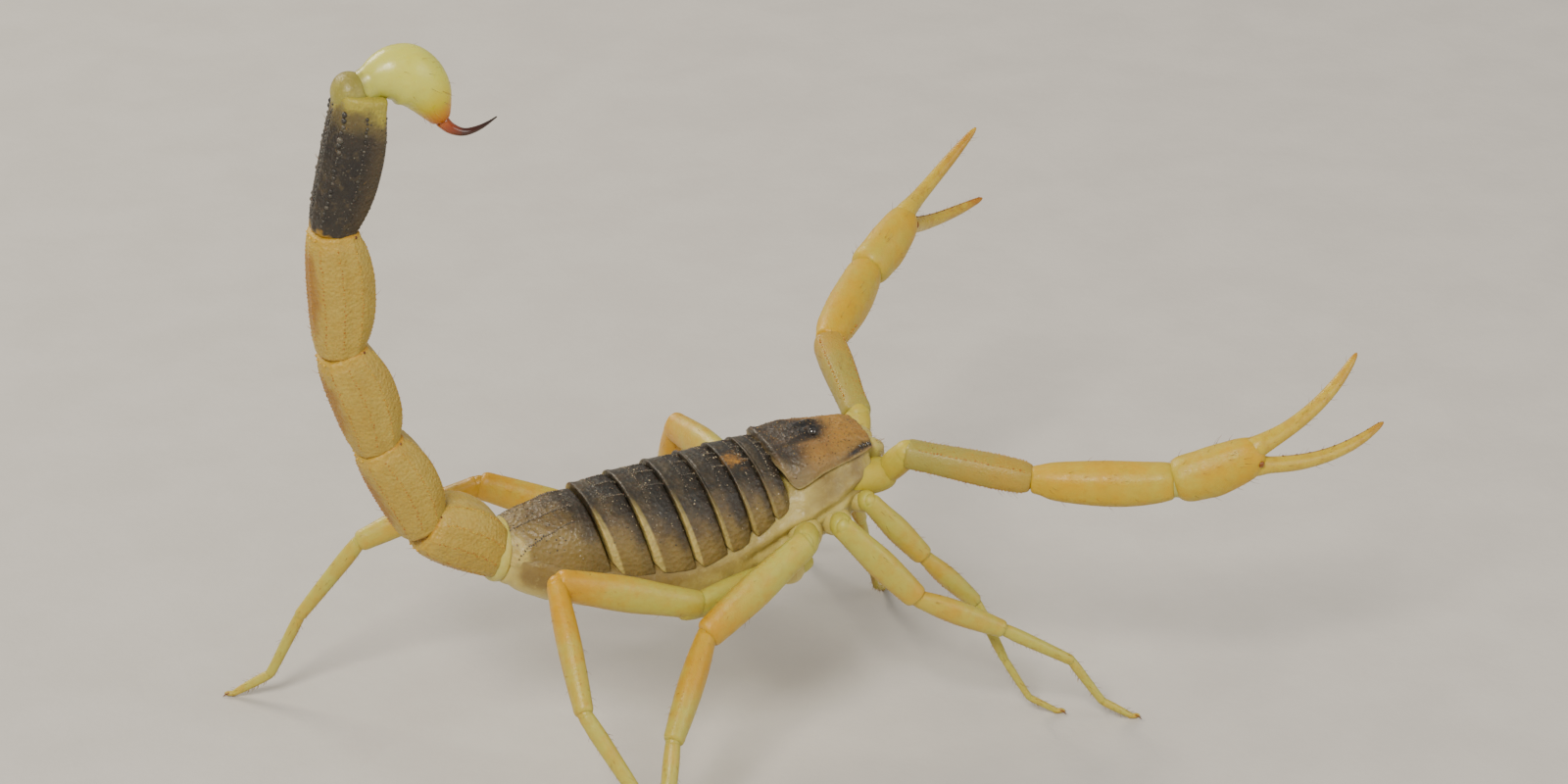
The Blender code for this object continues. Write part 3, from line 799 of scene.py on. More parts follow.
FOLD = ("pale_membrane", skin_finish("joint_skin", (0.56, 0.52, 0.20), (0.44, 0.25, 0.07)))
END_SKIN = ("pale_membrane", skin_finish("tail_end_skin", (0.40, 0.37, 0.125), (0.17, 0.14, 0.055)))
IVORY = (
    "ivory_jaws",
    shell_finish("jaw_ivory", (0.58, 0.54, 0.24), (0.50, 0.36, 0.12), (0.30, 0.15, 0.05), 0.36)
)
EYE = ("black_eyes", eye_finish())
EYE_RIM = ("golden_carapace", small_finish("eye_rim", (0.03, 0.024, 0.02), (0.10, 0.07, 0.045), 0.35))
COMB_TOOTH = ("ivory_jaws", small_finish("comb_tooth", (0.42, 0.34, 0.17), (0.62, 0.56, 0.32), 0.34, 0.3))
KNOB = ("dark_sting", small_finish("rusty_knob", (0.10, 0.03, 0.012), (0.42, 0.17, 0.04), 0.28))
CLAW = ("dark_sting", small_finish("claw_brown", (0.08, 0.03, 0.014), (0.34, 0.16, 0.05), 0.25))
BLACK_GRAIN = (
    "charcoal_shell", small_finish("charcoal_grain", (0.020, 0.018, 0.016), (0.15, 0.135, 0.105), 0.42)
)
BACK_GRAIN = ("slate_plates", small_finish("back_grain", (0.050, 0.042, 0.034), (0.58, 0.49, 0.35), 0.4))
HEAD_GRAIN = ("golden_carapace", small_finish("head_grain", (0.045, 0.030, 0.018), (0.55, 0.37, 0.17), 0.4))
AMBER_GRAIN = (
    "amber_shell", small_finish("amber_grain", (0.34, 0.14, 0.03), (0.62, 0.43, 0.12), 0.35, 0.2)
)
HAIR = ("amber_shell", small_finish("bristle_brown", (0.12, 0.06, 0.025), (0.45, 0.30, 0.12), 0.4))


# Shapes of the limb pieces: share of the run, half width, half height where it differs, lift

BARREL = (
    (-0.018, 0.6), (-0.012, 0.82), (0.0, 0.94), (0.03, 1.0), (0.08, 1.0), (0.2, 1.0), (0.35, 0.99),
    (0.5, 1.0), (0.7, 1.0), (0.84, 1.0), (0.92, 1.03, 1.04), (0.97, 1.04), (0.996, 0.96), (1.01, 0.8),
    (1.017, 0.55)
)
BULGE = ((-0.08, 0.5), (0.0, 0.78), (0.14, 0.96), (0.4, 1.06), (0.7, 1.06), (0.95, 0.92), (1.08, 0.55))
SOCKET = ((-0.3, 0.55), (-0.12, 0.84), (0.15, 1.0), (0.5, 1.03), (0.85, 1.0), (1.1, 0.86), (1.25, 0.55))
ARM_BARREL = (
    (-0.02, 0.7), (-0.012, 0.95), (0.005, 1.08), (0.05, 1.14), (0.12, 1.1, 1.08), (0.25, 1.03, 1.02),
    (0.5, 1.0), (0.7, 1.02, 1.01), (0.82, 1.1, 1.07), (0.9, 1.22, 1.18), (0.94, 1.38, 1.33),
    (0.97, 1.4, 1.35), (0.995, 1.33, 1.28), (1.012, 1.16, 1.1), (1.022, 0.85, 0.8)
)
PALM = (
    (-0.045, 1.25), (-0.03, 1.62, 1.58), (-0.005, 1.9, 1.86), (0.03, 1.86, 1.8), (0.08, 1.65, 1.58),
    (0.15, 1.37, 1.31), (0.25, 1.18, 1.14), (0.4, 1.05, 1.03, 0.01), (0.55, 1.0, 0.97, 0.03),
    (0.75, 0.97, 0.94, 0.05), (0.9, 0.94, 0.92, 0.07), (1.0, 0.92, 0.9, 0.1), (1.08, 0.88, 0.85, 0.14),
    (1.16, 0.81, 0.78, 0.2), (1.23, 0.71, 0.67, 0.28), (1.29, 0.57, 0.53, 0.36), (1.32, 0.4, 0.38, 0.4),
    (1.335, 0.2, 0.2, 0.4)
)
RING = (
    (-0.045, 0.86, 0.84, -0.08), (-0.034, 1.04, 1.02, -0.1), (-0.012, 1.13, 1.12, -0.1),
    (0.025, 1.13, 1.13, -0.09), (0.08, 1.06, 1.08, -0.04), (0.16, 1.01, 1.05, 0.05), (0.3, 1.0, 1.05, 0.1),
    (0.45, 1.01, 1.055, 0.12), (0.6, 1.01, 1.05, 0.1), (0.75, 1.0, 1.03, 0.06), (0.84, 0.99, 1.0, 0.02),
    (0.88, 0.985, 0.985, 0.0), (0.92, 1.0, 0.99, -0.02), (0.96, 1.03, 1.02, -0.03),
    (0.99, 1.03, 1.01, -0.03), (1.006, 0.96, 0.94, -0.02), (1.014, 0.82, 0.8), (1.017, 0.55)
)
FOLDS = (
    (-0.1, 0.7), (0.1, 0.95), (0.25, 0.86), (0.42, 1.0), (0.58, 0.88), (0.75, 1.0), (0.9, 0.9), (1.1, 0.7)
)


def fold(name, start, end, wide, tall, up=UP, tone=0.5):
    """Pleated skin of a joint, from inside one piece to inside the next."""
    place = frame_along(start, end, up)
    length = (end - start).length / MM
    rows = np.array([(s * length, w * wide, w * tall, 0, 0, 0) for s, w in FOLDS])
    return limb(name, place, rows, FOLD, tones=(tone,), sides=12)


BALL = tuple((sin(a), cos(a)) for a in (radians(d) for d in (-76, -52, -26, 0, 26, 52, 76)))


def knuckle(name, before, after, wide, tall, look, tone):
    """Rounded joint between two shell pieces, each given as its place and rows."""
    end = at_share(before[0], before[1], 1.0)
    start = at_share(after[0], after[1], 0.0)
    ways = [axis_of(run[0], 2) for run in (before, after)]
    place = frame_along((start + end) / 2, (start + end) / 2 + ways[0] + ways[1], UP)
    rows = np.array([(z * (wide + tall) / 2, r * wide, r * tall, 0, 0, 0) for z, r in BALL])
    return limb(name, place, rows, look, tones=(tone,), sides=14)


def joint(name, before, after, wide, tall, look, tone):
    """Fold of skin and rounded knuckle between two shell pieces."""
    own = after[1]
    start, end = at_share(*before, 0.93), at_share(*after, 0.07)
    fold(f"{name}_skin", start, end, own[0, 1], own[0, 2], tone=0.4)
    knuckle(f"{name}_joint", before, after, wide, tall, look, tone)


def at_share(place, rows, share):
    """Point on a run's middle line."""
    z = share * rows[-1, 0]
    x, y = (np.interp(z, rows[:, 0], rows[:, k]) for k in (3, 4))
    return place @ (Vector((x, y, z)) * MM)


def row_of_studs(host, place, rows, angle, shares, radius, height, tone, wobble=0.04):
    """Spots for studs along a line of a piece, this many degrees from its top to its left side."""
    spots = []
    for share in shares:
        swing = radians(90 - angle + chance.uniform(-wobble, wobble) * 40)
        way = place.to_3x3() @ Vector((cos(swing), sin(swing), 0))
        start = at_share(place, rows, share + chance.uniform(-wobble, wobble) * 0.2)
        spot, normal = surface(host, start, way)
        if spot is None:
            continue
        size = radius * chance.uniform(0.75, 1.2)
        shade = min(1, max(0, tone + chance.uniform(-0.3, 0.3)))
        spots.append((spot, normal, axis_of(place, 2), size, size * height, shade))
    return spots


def scattered_studs(host, place, rows, count, angles, shares, radius, height, tone):
    """Spots for studs strewn over part of a piece."""
    spots = []
    for _ in range(count):
        angle = chance.uniform(*angles)
        spots += row_of_studs(host, place, rows, angle, [chance.uniform(*shares)], radius, height, tone)
    return spots


def bristles(host, place, rows, count, length, shares=(0.08, 0.95), angles=(0, 360)):
    """Spots for fine bristles that lean towards the piece's far end."""
    spots = []
    along = axis_of(place, 2)
    for spot, normal, _, _, _, shade in scattered_studs(
        host, place, rows, count, angles, shares, 0.02, 1, 0.4
    ):
        rise = (normal + along * 0.7).normalized()
        size = chance.uniform(0.6, 1.15)
        spots.append((spot, rise, along, 0.016, length * size, shade))
    return spots


def has_room(spot):
    """Whether a bristle's tip stays over the floor and inside the solids' box."""
    at, way, _, _, height, _ = spot
    reach = height * MM
    tip = at + way.normalized() * reach
    return all(
        low + 0.3 * reach < place < high - 0.3 * reach for low, place, high in zip(cad_low, tip, cad_high)
    )


hairs = []
body_middle = sum(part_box("coxae_and_sternum"), Vector()) / 2


# Legs


def claw(name, at, forward, swing, length, drop):
    """One hooked claw of a foot: it rises a little and comes down on its point."""
    way = Matrix.Rotation(swing, 3, "Z") @ forward
    place = frame_along(at, at + way, UP)
    curve = ((0, 0, 0.13), (0.3, 0.1, 0.12), (0.6, 0.08, 0.09), (0.85, -0.1, 0.055), (1, -0.3, 0.02))
    rows = []
    for k, (z, y, radius) in enumerate(curve):
        step_z = curve[min(k + 1, 4)][0] - curve[max(k - 1, 0)][0]
        step_y = curve[min(k + 1, 4)][1] - curve[max(k - 1, 0)][1]
        fall = y * length if y > 0 else y / 0.3 * drop
        rows.append((z * length, radius, radius, 0, fall, atan2(-step_y, step_z)))
    return limb(name, place, np.array(rows), CLAW, tones=(0.8, 0.2), sides=8)


def leg(side, number):
    """Coxa, trochanter, femur, patella, tibia, both foot pieces and claws of one leg."""
    name = f"leg_{side}_{number}"
    sign = -1 if side == "right" else 1
    upper = rings_of(f"{name}_femur", body_middle)
    knee = middle_of(upper[-1])
    middle = rings_of(f"{name}_patella", knee)
    lower = rings_of(f"{name}_foot", middle_of(middle[-1]))
    stretches = (
        ("trochanter", upper[0:3], SOCKET, (0.0, 0.15), f"{name}_femur"),
        ("femur", upper[2:7], BARREL, (0.15, 0.25, 0.55, 0.95), f"{name}_femur"),
        ("patella", middle, BARREL, (0.95, 0.75, 0.4, 0.3), f"{name}_patella"),
        ("tibia", lower[0:4], BARREL, (0.35, 0.2, 0.25), f"{name}_foot"),
        ("basitarsus", lower[3:7], BARREL, (0.3, 0.15, 0.2), f"{name}_foot"),
        ("tarsus", lower[6:10], BARREL, (0.3, 0.35, 0.55), f"{name}_foot")
    )
    section = keeled(2.3, (0, 180), 0.05)
    # Painted shade: the first two legs lie in shade, so their tones are pulled towards the pale root
    # colour, less amber.
    warmth_in_shade = (0.5, 0.65, 1.0, 0.95)[number - 1]
    before = None
    for part, rings, pattern, tones, node in stretches:
        tones = [tone * warmth_in_shade for tone in tones]
        place, own = straight_run(rings)
        rows = fitted(own, pattern, full=1.06)
        if part == "tarsus":
            rows[-5:, 1:3] *= 0.88
        big = part in ("femur", "patella")
        piece = limb(
            f"{name}_{part}", place, rows, LEG, (node,), tones, sides=16 if big else 12,
            section=section if big else squarish(2.2), levels=2 if big else 1
        )
        if before:
            _, old_own, old_part = before
            wide, tall = (
                min(
                    np.interp(0.9 * old_own[-1, 0], old_own[:, 0], old_own[:, k]),
                    np.interp(0.1 * own[-1, 0], own[:, 0], own[:, k])
                ) for k in (1, 2)
            )
            wide_share, tall_share = (0.93, 0.92) if old_part == "trochanter" else (1.05, 1.04)
            joint(
                f"{name}_{old_part}", before[:2], (place, own), wide * wide_share, tall * tall_share, LEG,
                tones[0]
            )
        before = (place, own, part)
        if part in ("femur", "patella"):
            spots = row_of_studs(piece, place, rows, 180, np.linspace(0.12, 0.92, 24), 0.075, 0.8, 0.3)
            spots += row_of_studs(piece, place, rows, 0, np.linspace(0.3, 0.92, 18), 0.05, 0.7, 0.5)
            scatter(f"{name}_{part}_grains", GRAIN, spots, AMBER_GRAIN)
            hairs.extend(bristles(piece, place, rows, 16, 0.55))
        elif part == "trochanter":
            continue
        else:
            hairs.extend(bristles(piece, place, rows, 22, 0.5))
            hairs.extend(bristles(piece, place, rows, 16, 0.35, angles=(120, 240)))
        if part in ("tibia", "basitarsus"):
            tip = at_share(place, own, 0.97)
            spur = axis_of(place, 2) * 0.8 - UP * 0.5
            spots = []
            for swing in (-1, 1):
                out = axis_of(place, 0) * swing * own[-2, 1] * 0.7 * MM
                spots.append((tip + out - UP * 0.05 * MM, spur, UP, 0.07, 0.6, 0.4))
            clear = [spot for spot in spots if has_room(spot)]
            if clear:
                scatter(f"{name}_{part}_spurs", BRISTLE, clear, CLAW)
    sole = lower[-2:]
    heel, toe = middle_of(sole[0]), middle_of(sole[1])
    length = (toe - heel).length / MM
    forward = Vector((toe.x - heel.x, toe.y - heel.y, 0)).normalized()
    floor_drop = heel.z / MM - 0.03
    for which, swing in (("outer", 0.35), ("inner", -0.35)):
        claw(f"{name}_{which}_claw", heel, forward, swing * sign, length, floor_drop)
    pad_place = frame_along(heel - forward * 0.35 * MM, toe - forward * 0.15 * MM, UP)
    pad_length = length + 0.2
    pad = np.array(
        [
            (0, 0.14, 0.14, 0, 0, 0), (0.12 * pad_length, 0.24, 0.23, 0, 0, 0),
            (0.5 * pad_length, 0.27, 0.25, 0, 0, 0), (0.85 * pad_length, 0.2, 0.2, 0, 0, 0),
            (pad_length, 0.1, 0.12, 0, 0, 0)
        ]
    )
    limb(f"{name}_pad", pad_place, pad, LEG, (f"{name}_foot",), (0.5,), sides=10)
    root = middle_of(upper[0])
    inner = Vector((root.x + (body_middle.x - root.x) * 0.35, sign * 1.3 * MM, root.z - 1.0 * MM))
    place = frame_along(inner, root + (root - inner).normalized() * 0.4 * MM, UP)
    long = (place.inverted() @ root).z / MM + 0.4
    girth = (1.25, 1.5, 1.75, 1.8)[number - 1]
    rows = np.array([(s * long, w * girth, w * girth * 0.9, 0, 0, 0) for s, w in BULGE])
    limb(
        f"{name}_coxa", place, rows, SKIN, ("coxae_and_sternum",), (0.25, 0.1, 0.05), sides=14,
        section=squarish(2.4)
    )


for side_name, _ in SIDES:
    for leg_number in (1, 2, 3, 4):
        leg(side_name, leg_number)


# Tail

def tail_ring(number, near):
    """One tail ring with its grains: its place, the solid's rows, its own rows, the piece, its end."""
    node = f"metasoma_{number}"
    rings = rings_of(node, near)
    back_way = UP if number == 1 else AHEAD
    place, own = straight_run(rings, back_way)
    last = number == 5
    keels = (33.75, 67.5, 101.25, 135, 168.75) if not last else (45, 90, 135, 168.75)
    section = keeled(2.7, keels, 0.05 if not last else 0.07, 0.09)
    rows = fitted(own, RING, full=1.03, hold=0.04)
    piece = limb(
        f"{node}_ring", place, rows, CHARCOAL if last else TAIL, (node,), (0.5,), sides=32, section=section,
        levels=2
    )
    spots = []
    if last:
        for side_sign in (-1, 1):
            for keel, radius in ((135, 0.2), (90, 0.12), (45, 0.09)):
                count = 19 if keel == 135 else 26
                shares = np.linspace(0.05, 0.87, count)
                for share in shares:
                    size = radius * (0.6 + 0.6 * share) * chance.choice((0.7, 1.0, 1.25))
                    spots += row_of_studs(piece, place, rows, side_sign * keel, [share], size, 0.8, 0.3)
        spots += row_of_studs(piece, place, rows, 180, np.linspace(0.06, 0.88, 30), 0.12, 0.8, 0.3)
        spots += scattered_studs(piece, place, rows, 260, (40, 320), (0.04, 0.86), 0.06, 0.7, 0.4)
        scatter(f"{node}_grains", BEAD, spots, BLACK_GRAIN)
    else:
        for side_sign in (-1, 1):
            for keel in keels:
                count = 34 if keel in (33.75, 67.5) else 26
                spots += row_of_studs(
                    piece, place, rows, side_sign * keel, np.linspace(0.08, 0.9, count), 0.075, 0.8,
                    0.6 if keel < 90 else 0.25
                )
            for angle in (150, 170):
                spots += row_of_studs(piece, place, rows, side_sign * angle, [0.965], 0.14, 1.1, 0.9, 0)
        scatter(f"{node}_grains", GRAIN, spots, AMBER_GRAIN)
    hairs.extend(bristles(piece, place, rows, 14, 0.7))
    return place, own, rows, piece, middle_of(rings[-1])


belly_rings = rings_of("belly", Vector(cad_high), AHEAD)
near = middle_of(belly_rings[-1])
tail_ends = []
for number in range(1, 6):
    *ring, near = tail_ring(number, near)
    tail_ends.append(ring)

trunk_axis = middle_of(belly_rings[0]) - middle_of(belly_rings[-1])
for number in range(1, 6):
    place, own, rows, piece = tail_ends[number - 1]
    back_way = UP if number == 1 else AHEAD
    start = at_share(place, own, 0.04)
    if number == 1:
        before = middle_of(belly_rings[-1]) + trunk_axis.normalized() * 0.6 * MM
    else:
        old_place, old_own, old_rows, old_piece = tail_ends[number - 2]
        before = at_share(old_place, old_own, 0.96)
    fold(f"tail_joint_{number}", before, start, own[0, 1] * 1.06, own[0, 2], back_way, 0.6)
    if number > 1:
        knuckle(
            f"tail_knuckle_{number}", (old_place, old_own), (place, own), own[0, 1] * 0.99,
            own[0, 2] * 0.98, TAIL, 0.5
        )
        knobs = []
        for side_sign in (-1, 1):
            knobs += row_of_studs(
                old_piece, old_place, old_rows, side_sign * 55, [0.965], 0.17 if number == 5 else 0.11, 0.6,
                0.15, 0
            )
        scatter(f"tail_hinge_{number}", BEAD, knobs, KNOB)

# Sting
bulb_rings = rings_of("vesicle", near)
place, own = curved_run(bulb_rings)
rows = smooth_rows(own, 3)
neck = rows[0].copy()
neck[0] -= 0.6
bulb_rows = np.array([neck, *rows])
swelling = 0.955 + 0.4 * np.clip(1 - np.arange(len(bulb_rows)) / 5, 0, 1)
bulb_rows[:, 1:3] *= swelling[:, None]
bulb_rows[0, 1:3] *= 0.8
bulb = limb("vesicle_bulb", place, bulb_rows, BULB, ("vesicle",), (0.5,), sides=20, levels=2)
hairs.extend(bristles(bulb, place, rows, 24, 0.8, (0.15, 0.9)))
point_rings = rings_of("aculeus", middle_of(bulb_rings[-1]))
place, own = curved_run(point_rings)
rows = smooth_rows(own, 4)
first = rows[0].copy()
first[[0, 4]] -= (0.55 * cos(first[5]), -0.55 * sin(first[5]))
first[[1, 2]] *= 1.08
taper = np.interp(np.linspace(0, 1, len(rows)), (0, 0.3, 0.7, 1), (1.02, 1.0, 0.72, 0.22))
rows[:, 1:3] *= taper[:, None]
limb("aculeus_point", place, np.array([first, *rows]), STING, ("aculeus",), (0.5,), sides=14, levels=2)
# Soft bulge on the end of the fifth ring, behind the bulb's neck
place_5, own_5 = tail_ends[4][:2]
start = at_share(place_5, own_5, 0.88) - AHEAD * 0.5 * MM
end = start + (UP * 0.97 - AHEAD * 0.1).normalized() * 2.8 * MM
place = frame_along(start, end, AHEAD)
rows = np.array([(1.45 + z * 1.75, w * 1.85, w * 1.6, 0, 0, 0) for z, w in BALL])
limb("tail_end_membrane", place, rows, END_SKIN, (), (0.2, 0.5), sides=14, levels=2)


# Pincers


def finger(name, rings, node, tones, root):
    """A slender curved finger that grows out of the palm from its root: point, half width, height."""
    place, own = curved_run(rings)
    rows = smooth_rows(own, 3)
    taper = np.interp(
        np.linspace(0, 1, len(rows)), (0, 0.15, 0.45, 0.7, 0.93, 1), (1.1, 1.06, 1.1, 1.15, 1.05, 0.5)
    )
    rows[:, 1:3] *= taper[:, None]
    back = place.inverted()
    centres = [back @ at / MM for at, _, _ in root] + [Vector(rows[0, [3, 4, 0]])]
    added = []
    for (_, wide, tall), here, ahead in zip(root, centres, centres[1:]):
        step = ahead - here
        added.append((here.z, wide, tall, here.x, here.y, atan2(-step.y, step.z)))
    rows = np.array([*added, *rows])
    piece = limb(name, place, rows, FINGER, (node,), tones, sides=14, levels=2)
    return piece, place, rows


def pincer(side, sign):
    name = f"pedipalp_{side}"
    upper = rings_of(f"{name}_femur", body_middle)
    elbow = middle_of(upper[-1])
    middle = rings_of(f"{name}_patella", elbow)
    wrist = middle_of(middle[-1])
    hand = rings_of(f"{name}_hand", wrist)
    moving = rings_of(f"{name}_movable_finger", middle_of(hand[3]))
    stretches = (
        ("coxa", upper[0:2], SOCKET, (0.1, 0.05), f"{name}_femur", 14),
        ("trochanter", upper[1:4], SOCKET, (0.05, 0.1), f"{name}_femur", 16),
        ("femur", upper[3:9], BARREL, (0.05, 0.3, 0.5, 0.8), f"{name}_femur", 24),
        ("patella", middle, ARM_BARREL, (0.8, 0.65, 0.6, 0.5), f"{name}_patella", 24)
    )
    before = None
    for part, rings, pattern, tones, node, sides in stretches:
        place, own = straight_run(rings)
        if part == "coxa":
            place = frame_along(middle_of(rings[0]) - AHEAD * 2.6 * MM, middle_of(rings[1]), UP)
            length = (middle_of(rings[1]) - place.translation).length / MM
            own = np.array([(z * length, 1.35, 1.5, 0, 0, 0) for z in (0.0, 0.5, 1.0)])
        section = squarish(2.3)
        if part == "femur":
            section = keeled(2.6, (45, 135), 0.05)
        if part == "patella":
            section = keeled(2.2, (60, 120), 0.02)
        rows = fitted(own, pattern, full=1.04, wide=1.16 if part == "femur" else 1, hold=0.05)
        piece = limb(
            f"{name}_{part}", place, rows, UPPER_ARM if part == "femur" else ARM, (node,), tones,
            sides=sides, section=section, levels=2
        )
        if before:
            _, old_own, old_part = before
            joint(
                f"{name}_{old_part}", before[:2], (place, own), min(old_own[-1, 1], own[0, 1]) * 1.06,
                min(old_own[-1, 2], own[0, 2]) * 1.06, ARM, tones[0]
            )
        before = (place, own, part)
        spots = []
        if part == "femur":
            for keel in (45, -45, 135, -135):
                spots += row_of_studs(piece, place, rows, keel, np.linspace(0.1, 0.93, 30), 0.09, 0.9, 0.35)
            spots += scattered_studs(piece, place, rows, 70, (-45, 45), (0.1, 0.9), 0.05, 0.8, 0.5)
        if part == "patella":
            for keel in (60, -60, 120, -120):
                spots += row_of_studs(piece, place, rows, keel, np.linspace(0.12, 0.9, 26), 0.045, 0.7, 0.6)
            spots += row_of_studs(piece, place, rows, -sign * 90, (0.16, 0.2, 0.26), 0.15, 1.1, 0.3)
        if spots:
            scatter(f"{name}_{part}_grains", GRAIN, spots, AMBER_GRAIN)
            hairs.extend(bristles(piece, place, rows, 26, 0.8))

    place, own = straight_run(hand[0:4])
    palm_rows = fitted(own, PALM, full=1.04, hold=0.0)
    palm_place = place
    palm = limb(
        f"{name}_palm", place, palm_rows, ARM, (f"{name}_hand",), (0.45, 0.5, 0.6, 0.75), sides=24,
        section=keeled(2.1, (30, 90, 150), 0.02), levels=2
    )
    old_place, old_own, _ = before
    fold(
        f"{name}_patella_joint", at_share(old_place, old_own, 0.93), at_share(place, own, 0.07),
        own[0, 1] * 2.02, own[0, 2] * 2.0, tone=0.1
    )
    hairs.extend(bristles(palm, place, palm_rows, 34, 0.9))

    def in_palm(z, y):
        return palm_place @ (Vector((0, y, z)) * MM)

    fixed = finger(
        f"{name}_fixed_finger", hand[4:10], f"{name}_hand", (0.0, 0.0, 0.08, 0.25, 0.5),
        ((in_palm(4.6, 0.1), 0.9, 1.0), (in_palm(5.4, 0.3), 1.25, 1.45), (in_palm(6.4, 0.62), 1.18, 1.28))
    )
    movable = finger(
        f"{name}_movable_finger_shell", moving, f"{name}_movable_finger", (0.0, 0.0, 0.08, 0.3, 0.6),
        ((in_palm(5.6, -0.35), 0.7, 0.7), (in_palm(6.1, -0.5), 1.0, 1.05), (in_palm(6.9, -0.75), 0.95, 1.0))
    )
    for (piece, place, rows), (_, other_place, other_rows), which in (
        (fixed, movable, "fixed"), (movable, fixed, "movable")
    ):
        spots = []
        count = 58
        for k in range(count):
            share = 0.14 + 0.83 * k / (count - 1)
            here = at_share(place, rows, share)
            there = at_share(other_place, other_rows, share)
            spot, normal = surface(piece, here, (there - here).normalized())
            if spot is None:
                continue
            big = k % 7 == 0
            size = (0.1 if big else 0.062) * (1.1 - 0.4 * share)
            spots.append((spot, normal, AHEAD, size, size * 1.15, 0.15 if big else 0.4))
        scatter(f"{name}_{which}_teeth", GRAIN, spots, KNOB)
        hairs.extend(bristles(piece, place, rows, 26, 0.7))
        tip = at_share(place, rows, 1.0)
        tip_way = (tip - at_share(place, rows, 0.94)).normalized()
        hook = [(tip - tip_way * 0.3 * MM, tip_way, UP, 0.15, 0.3, 0.6)]
        scatter(f"{name}_{which}_tip", BEAD, hook, KNOB)
    knobs = []
    for swing in (-1, 1):
        way = palm_place.to_3x3() @ Vector((swing * 0.9, -0.45, 0))
        start = at_share(palm_place, palm_rows, 0.93)
        spot, normal = surface(palm, start, way.normalized())
        if spot is not None:
            knobs.append((spot, normal, AHEAD, 0.3, 0.16, 0.35))
    spot, normal = surface(palm, at_share(palm_place, palm_rows, 0.93), -axis_of(palm_place, 1))
    knobs.append((spot, normal, AHEAD, 0.4, 0.2, 0.25))
    scatter(f"{name}_finger_hinge", BEAD, knobs, KNOB)


for side_name, side_sign in SIDES:
    pincer(side_name, side_sign)


# Trunk

trunk = frame_along(middle_of(belly_rings[-1]), middle_of(belly_rings[0]), UP)
trunk_back = trunk.inverted()


def trunk_run(node, near_point):
    """Rows of a trunk solid in the trunk's own frame, rear first."""
    rows = []
    for ring in rings_of(node, near_point, axis_of(trunk, 2)):
        points = np.array([trunk_back @ point / MM for point in ring])
        low, high = points.min(0), points.max(0)
        lean = np.polyfit(points[:, 1], points[:, 2], 1)
        rows.append(
            (lean[1] + lean[0] * low[1], (high[0] - low[0]) / 2, high[1] - low[1], 0, low[1], atan(lean[0]))
        )
    return np.array(rows)


def drop_on(piece, x, z, height=9):
    """Where a line straight down onto the trunk first meets a piece, and the normal there."""
    start = trunk @ (Vector((x, height, z)) * MM)
    return tree_of(piece).ray_cast(start, -axis_of(trunk, 1))[:2]


rear_point = trunk.translation - axis_of(trunk, 2)
belly_rows = trunk_run("belly", rear_point)
coxae_rows = trunk_run("coxae_and_sternum", rear_point)

# Soft skin of belly, sides and leg base in one. It reaches up under the plates' edges.
SKIN_LIFT = 1.3
skin_rows = []
for z, wide, tall, x, y, tilt in (*belly_rows, *coxae_rows[1:]):
    skin_rows.append((z, wide, tall / 2 + SKIN_LIFT / 2, x, y + tall / 2 + SKIN_LIFT / 2, tilt))
skin_rows = np.array(skin_rows)
skin_rows[:, 0] += skin_rows[:, 2] * np.tan(skin_rows[:, 5])
skin_rows[:, 1] *= np.interp(skin_rows[:, 0], (0, 20, 25), (1.01, 1.01, 1.045))
skin_rows = closed(smooth_rows(skin_rows, 3), 0.8, 0.15, 0.15)
skin = grow("body_skin", skin_rows, sides=32, section=squarish(2.6), levels=2)

seams = [trunk_run(f"tergite_{number}", rear_point)[0, 0] for number in range(1, 8)]
leg_roots = [
    trunk_back @ middle_of(rings_of(f"leg_left_{k}_femur", body_middle)[0]) / MM for k in (1, 2, 3, 4)
]


def skin_fold(x, y, z, normal):
    """Pleats, a pinch under each seam, raised belly plate edges, and lobes over the leg bases."""
    pleat = 0.06 * noise.noise(Vector((x * 0.5, y * 1.3, z * 1.2)))
    seam = sum(bell(z, rear, 0.35) for rear in seams)
    pinch = -0.22 * seam * (1 - abs(normal.y))
    lobes = sum(0.3 * bell(z, root.z, 0.9) * bell(y, root.y + 0.9, 1.2) for root in leg_roots)
    for one, other in zip(leg_roots, leg_roots[1:]):
        line = (one.z + other.z) / 2 + 0.5 * (y - (one.y + other.y) / 2) + 3 * pleat
        lobes -= 0.16 * bell(z, line, 0.3) * bell(y, one.y, 1.4)
    brink = 2.0 + 0.38 * (z - 24.5)
    in_front = clamp((z - 19) / 3)
    lobes += (0.2 * bell(y, brink - 0.9, 0.4) - 0.26 * bell(y, brink - 1.7, 0.32)) * in_front
    return pleat + pinch * 0.8 - 0.1 * seam * max(0.0, -normal.y) + lobes * abs(normal.x)


press(skin, skin_fold)
points = points_of(skin)
tall_here, middle_here = (np.interp(points[:, 2], skin_rows[:, 0], skin_rows[:, k]) for k in (2, 4))
high = (points[:, 1] - middle_here) / tall_here
skin_share = points[:, 2] / skin_rows[-1, 0]
rearward = 1 - clamp((skin_share - 0.42) / 0.25)
far_rear = 1 - clamp((skin_share - 0.2) / 0.3)
tone = clamp((high + 0.4 + 0.45 * far_rear) / 0.7) * (0.3 + 0.6 * rearward)
tone *= np.clip((points[:, 2] - 0.1) / 1.1, 0.1, 1)
# Browner patches high on the side by the front leg bases; the front one is painted shade over the first
# legs' and pincers' bases.
tone += 0.45 * bell(skin_share, 0.85, 0.06) * clamp((high + 0.1) / 0.3)
tone += 0.5 * bell(skin_share, 0.945, 0.03) * clamp((high + 0.7) / 0.3)
write_mark(skin, points[:, 2] / skin_rows[-1, 0], points[:, 0] / 6, points[:, 1] / 3, tone)
lay(skin, trunk)
keep(skin, SKIN, "belly", "coxae_and_sternum")

# Back plates


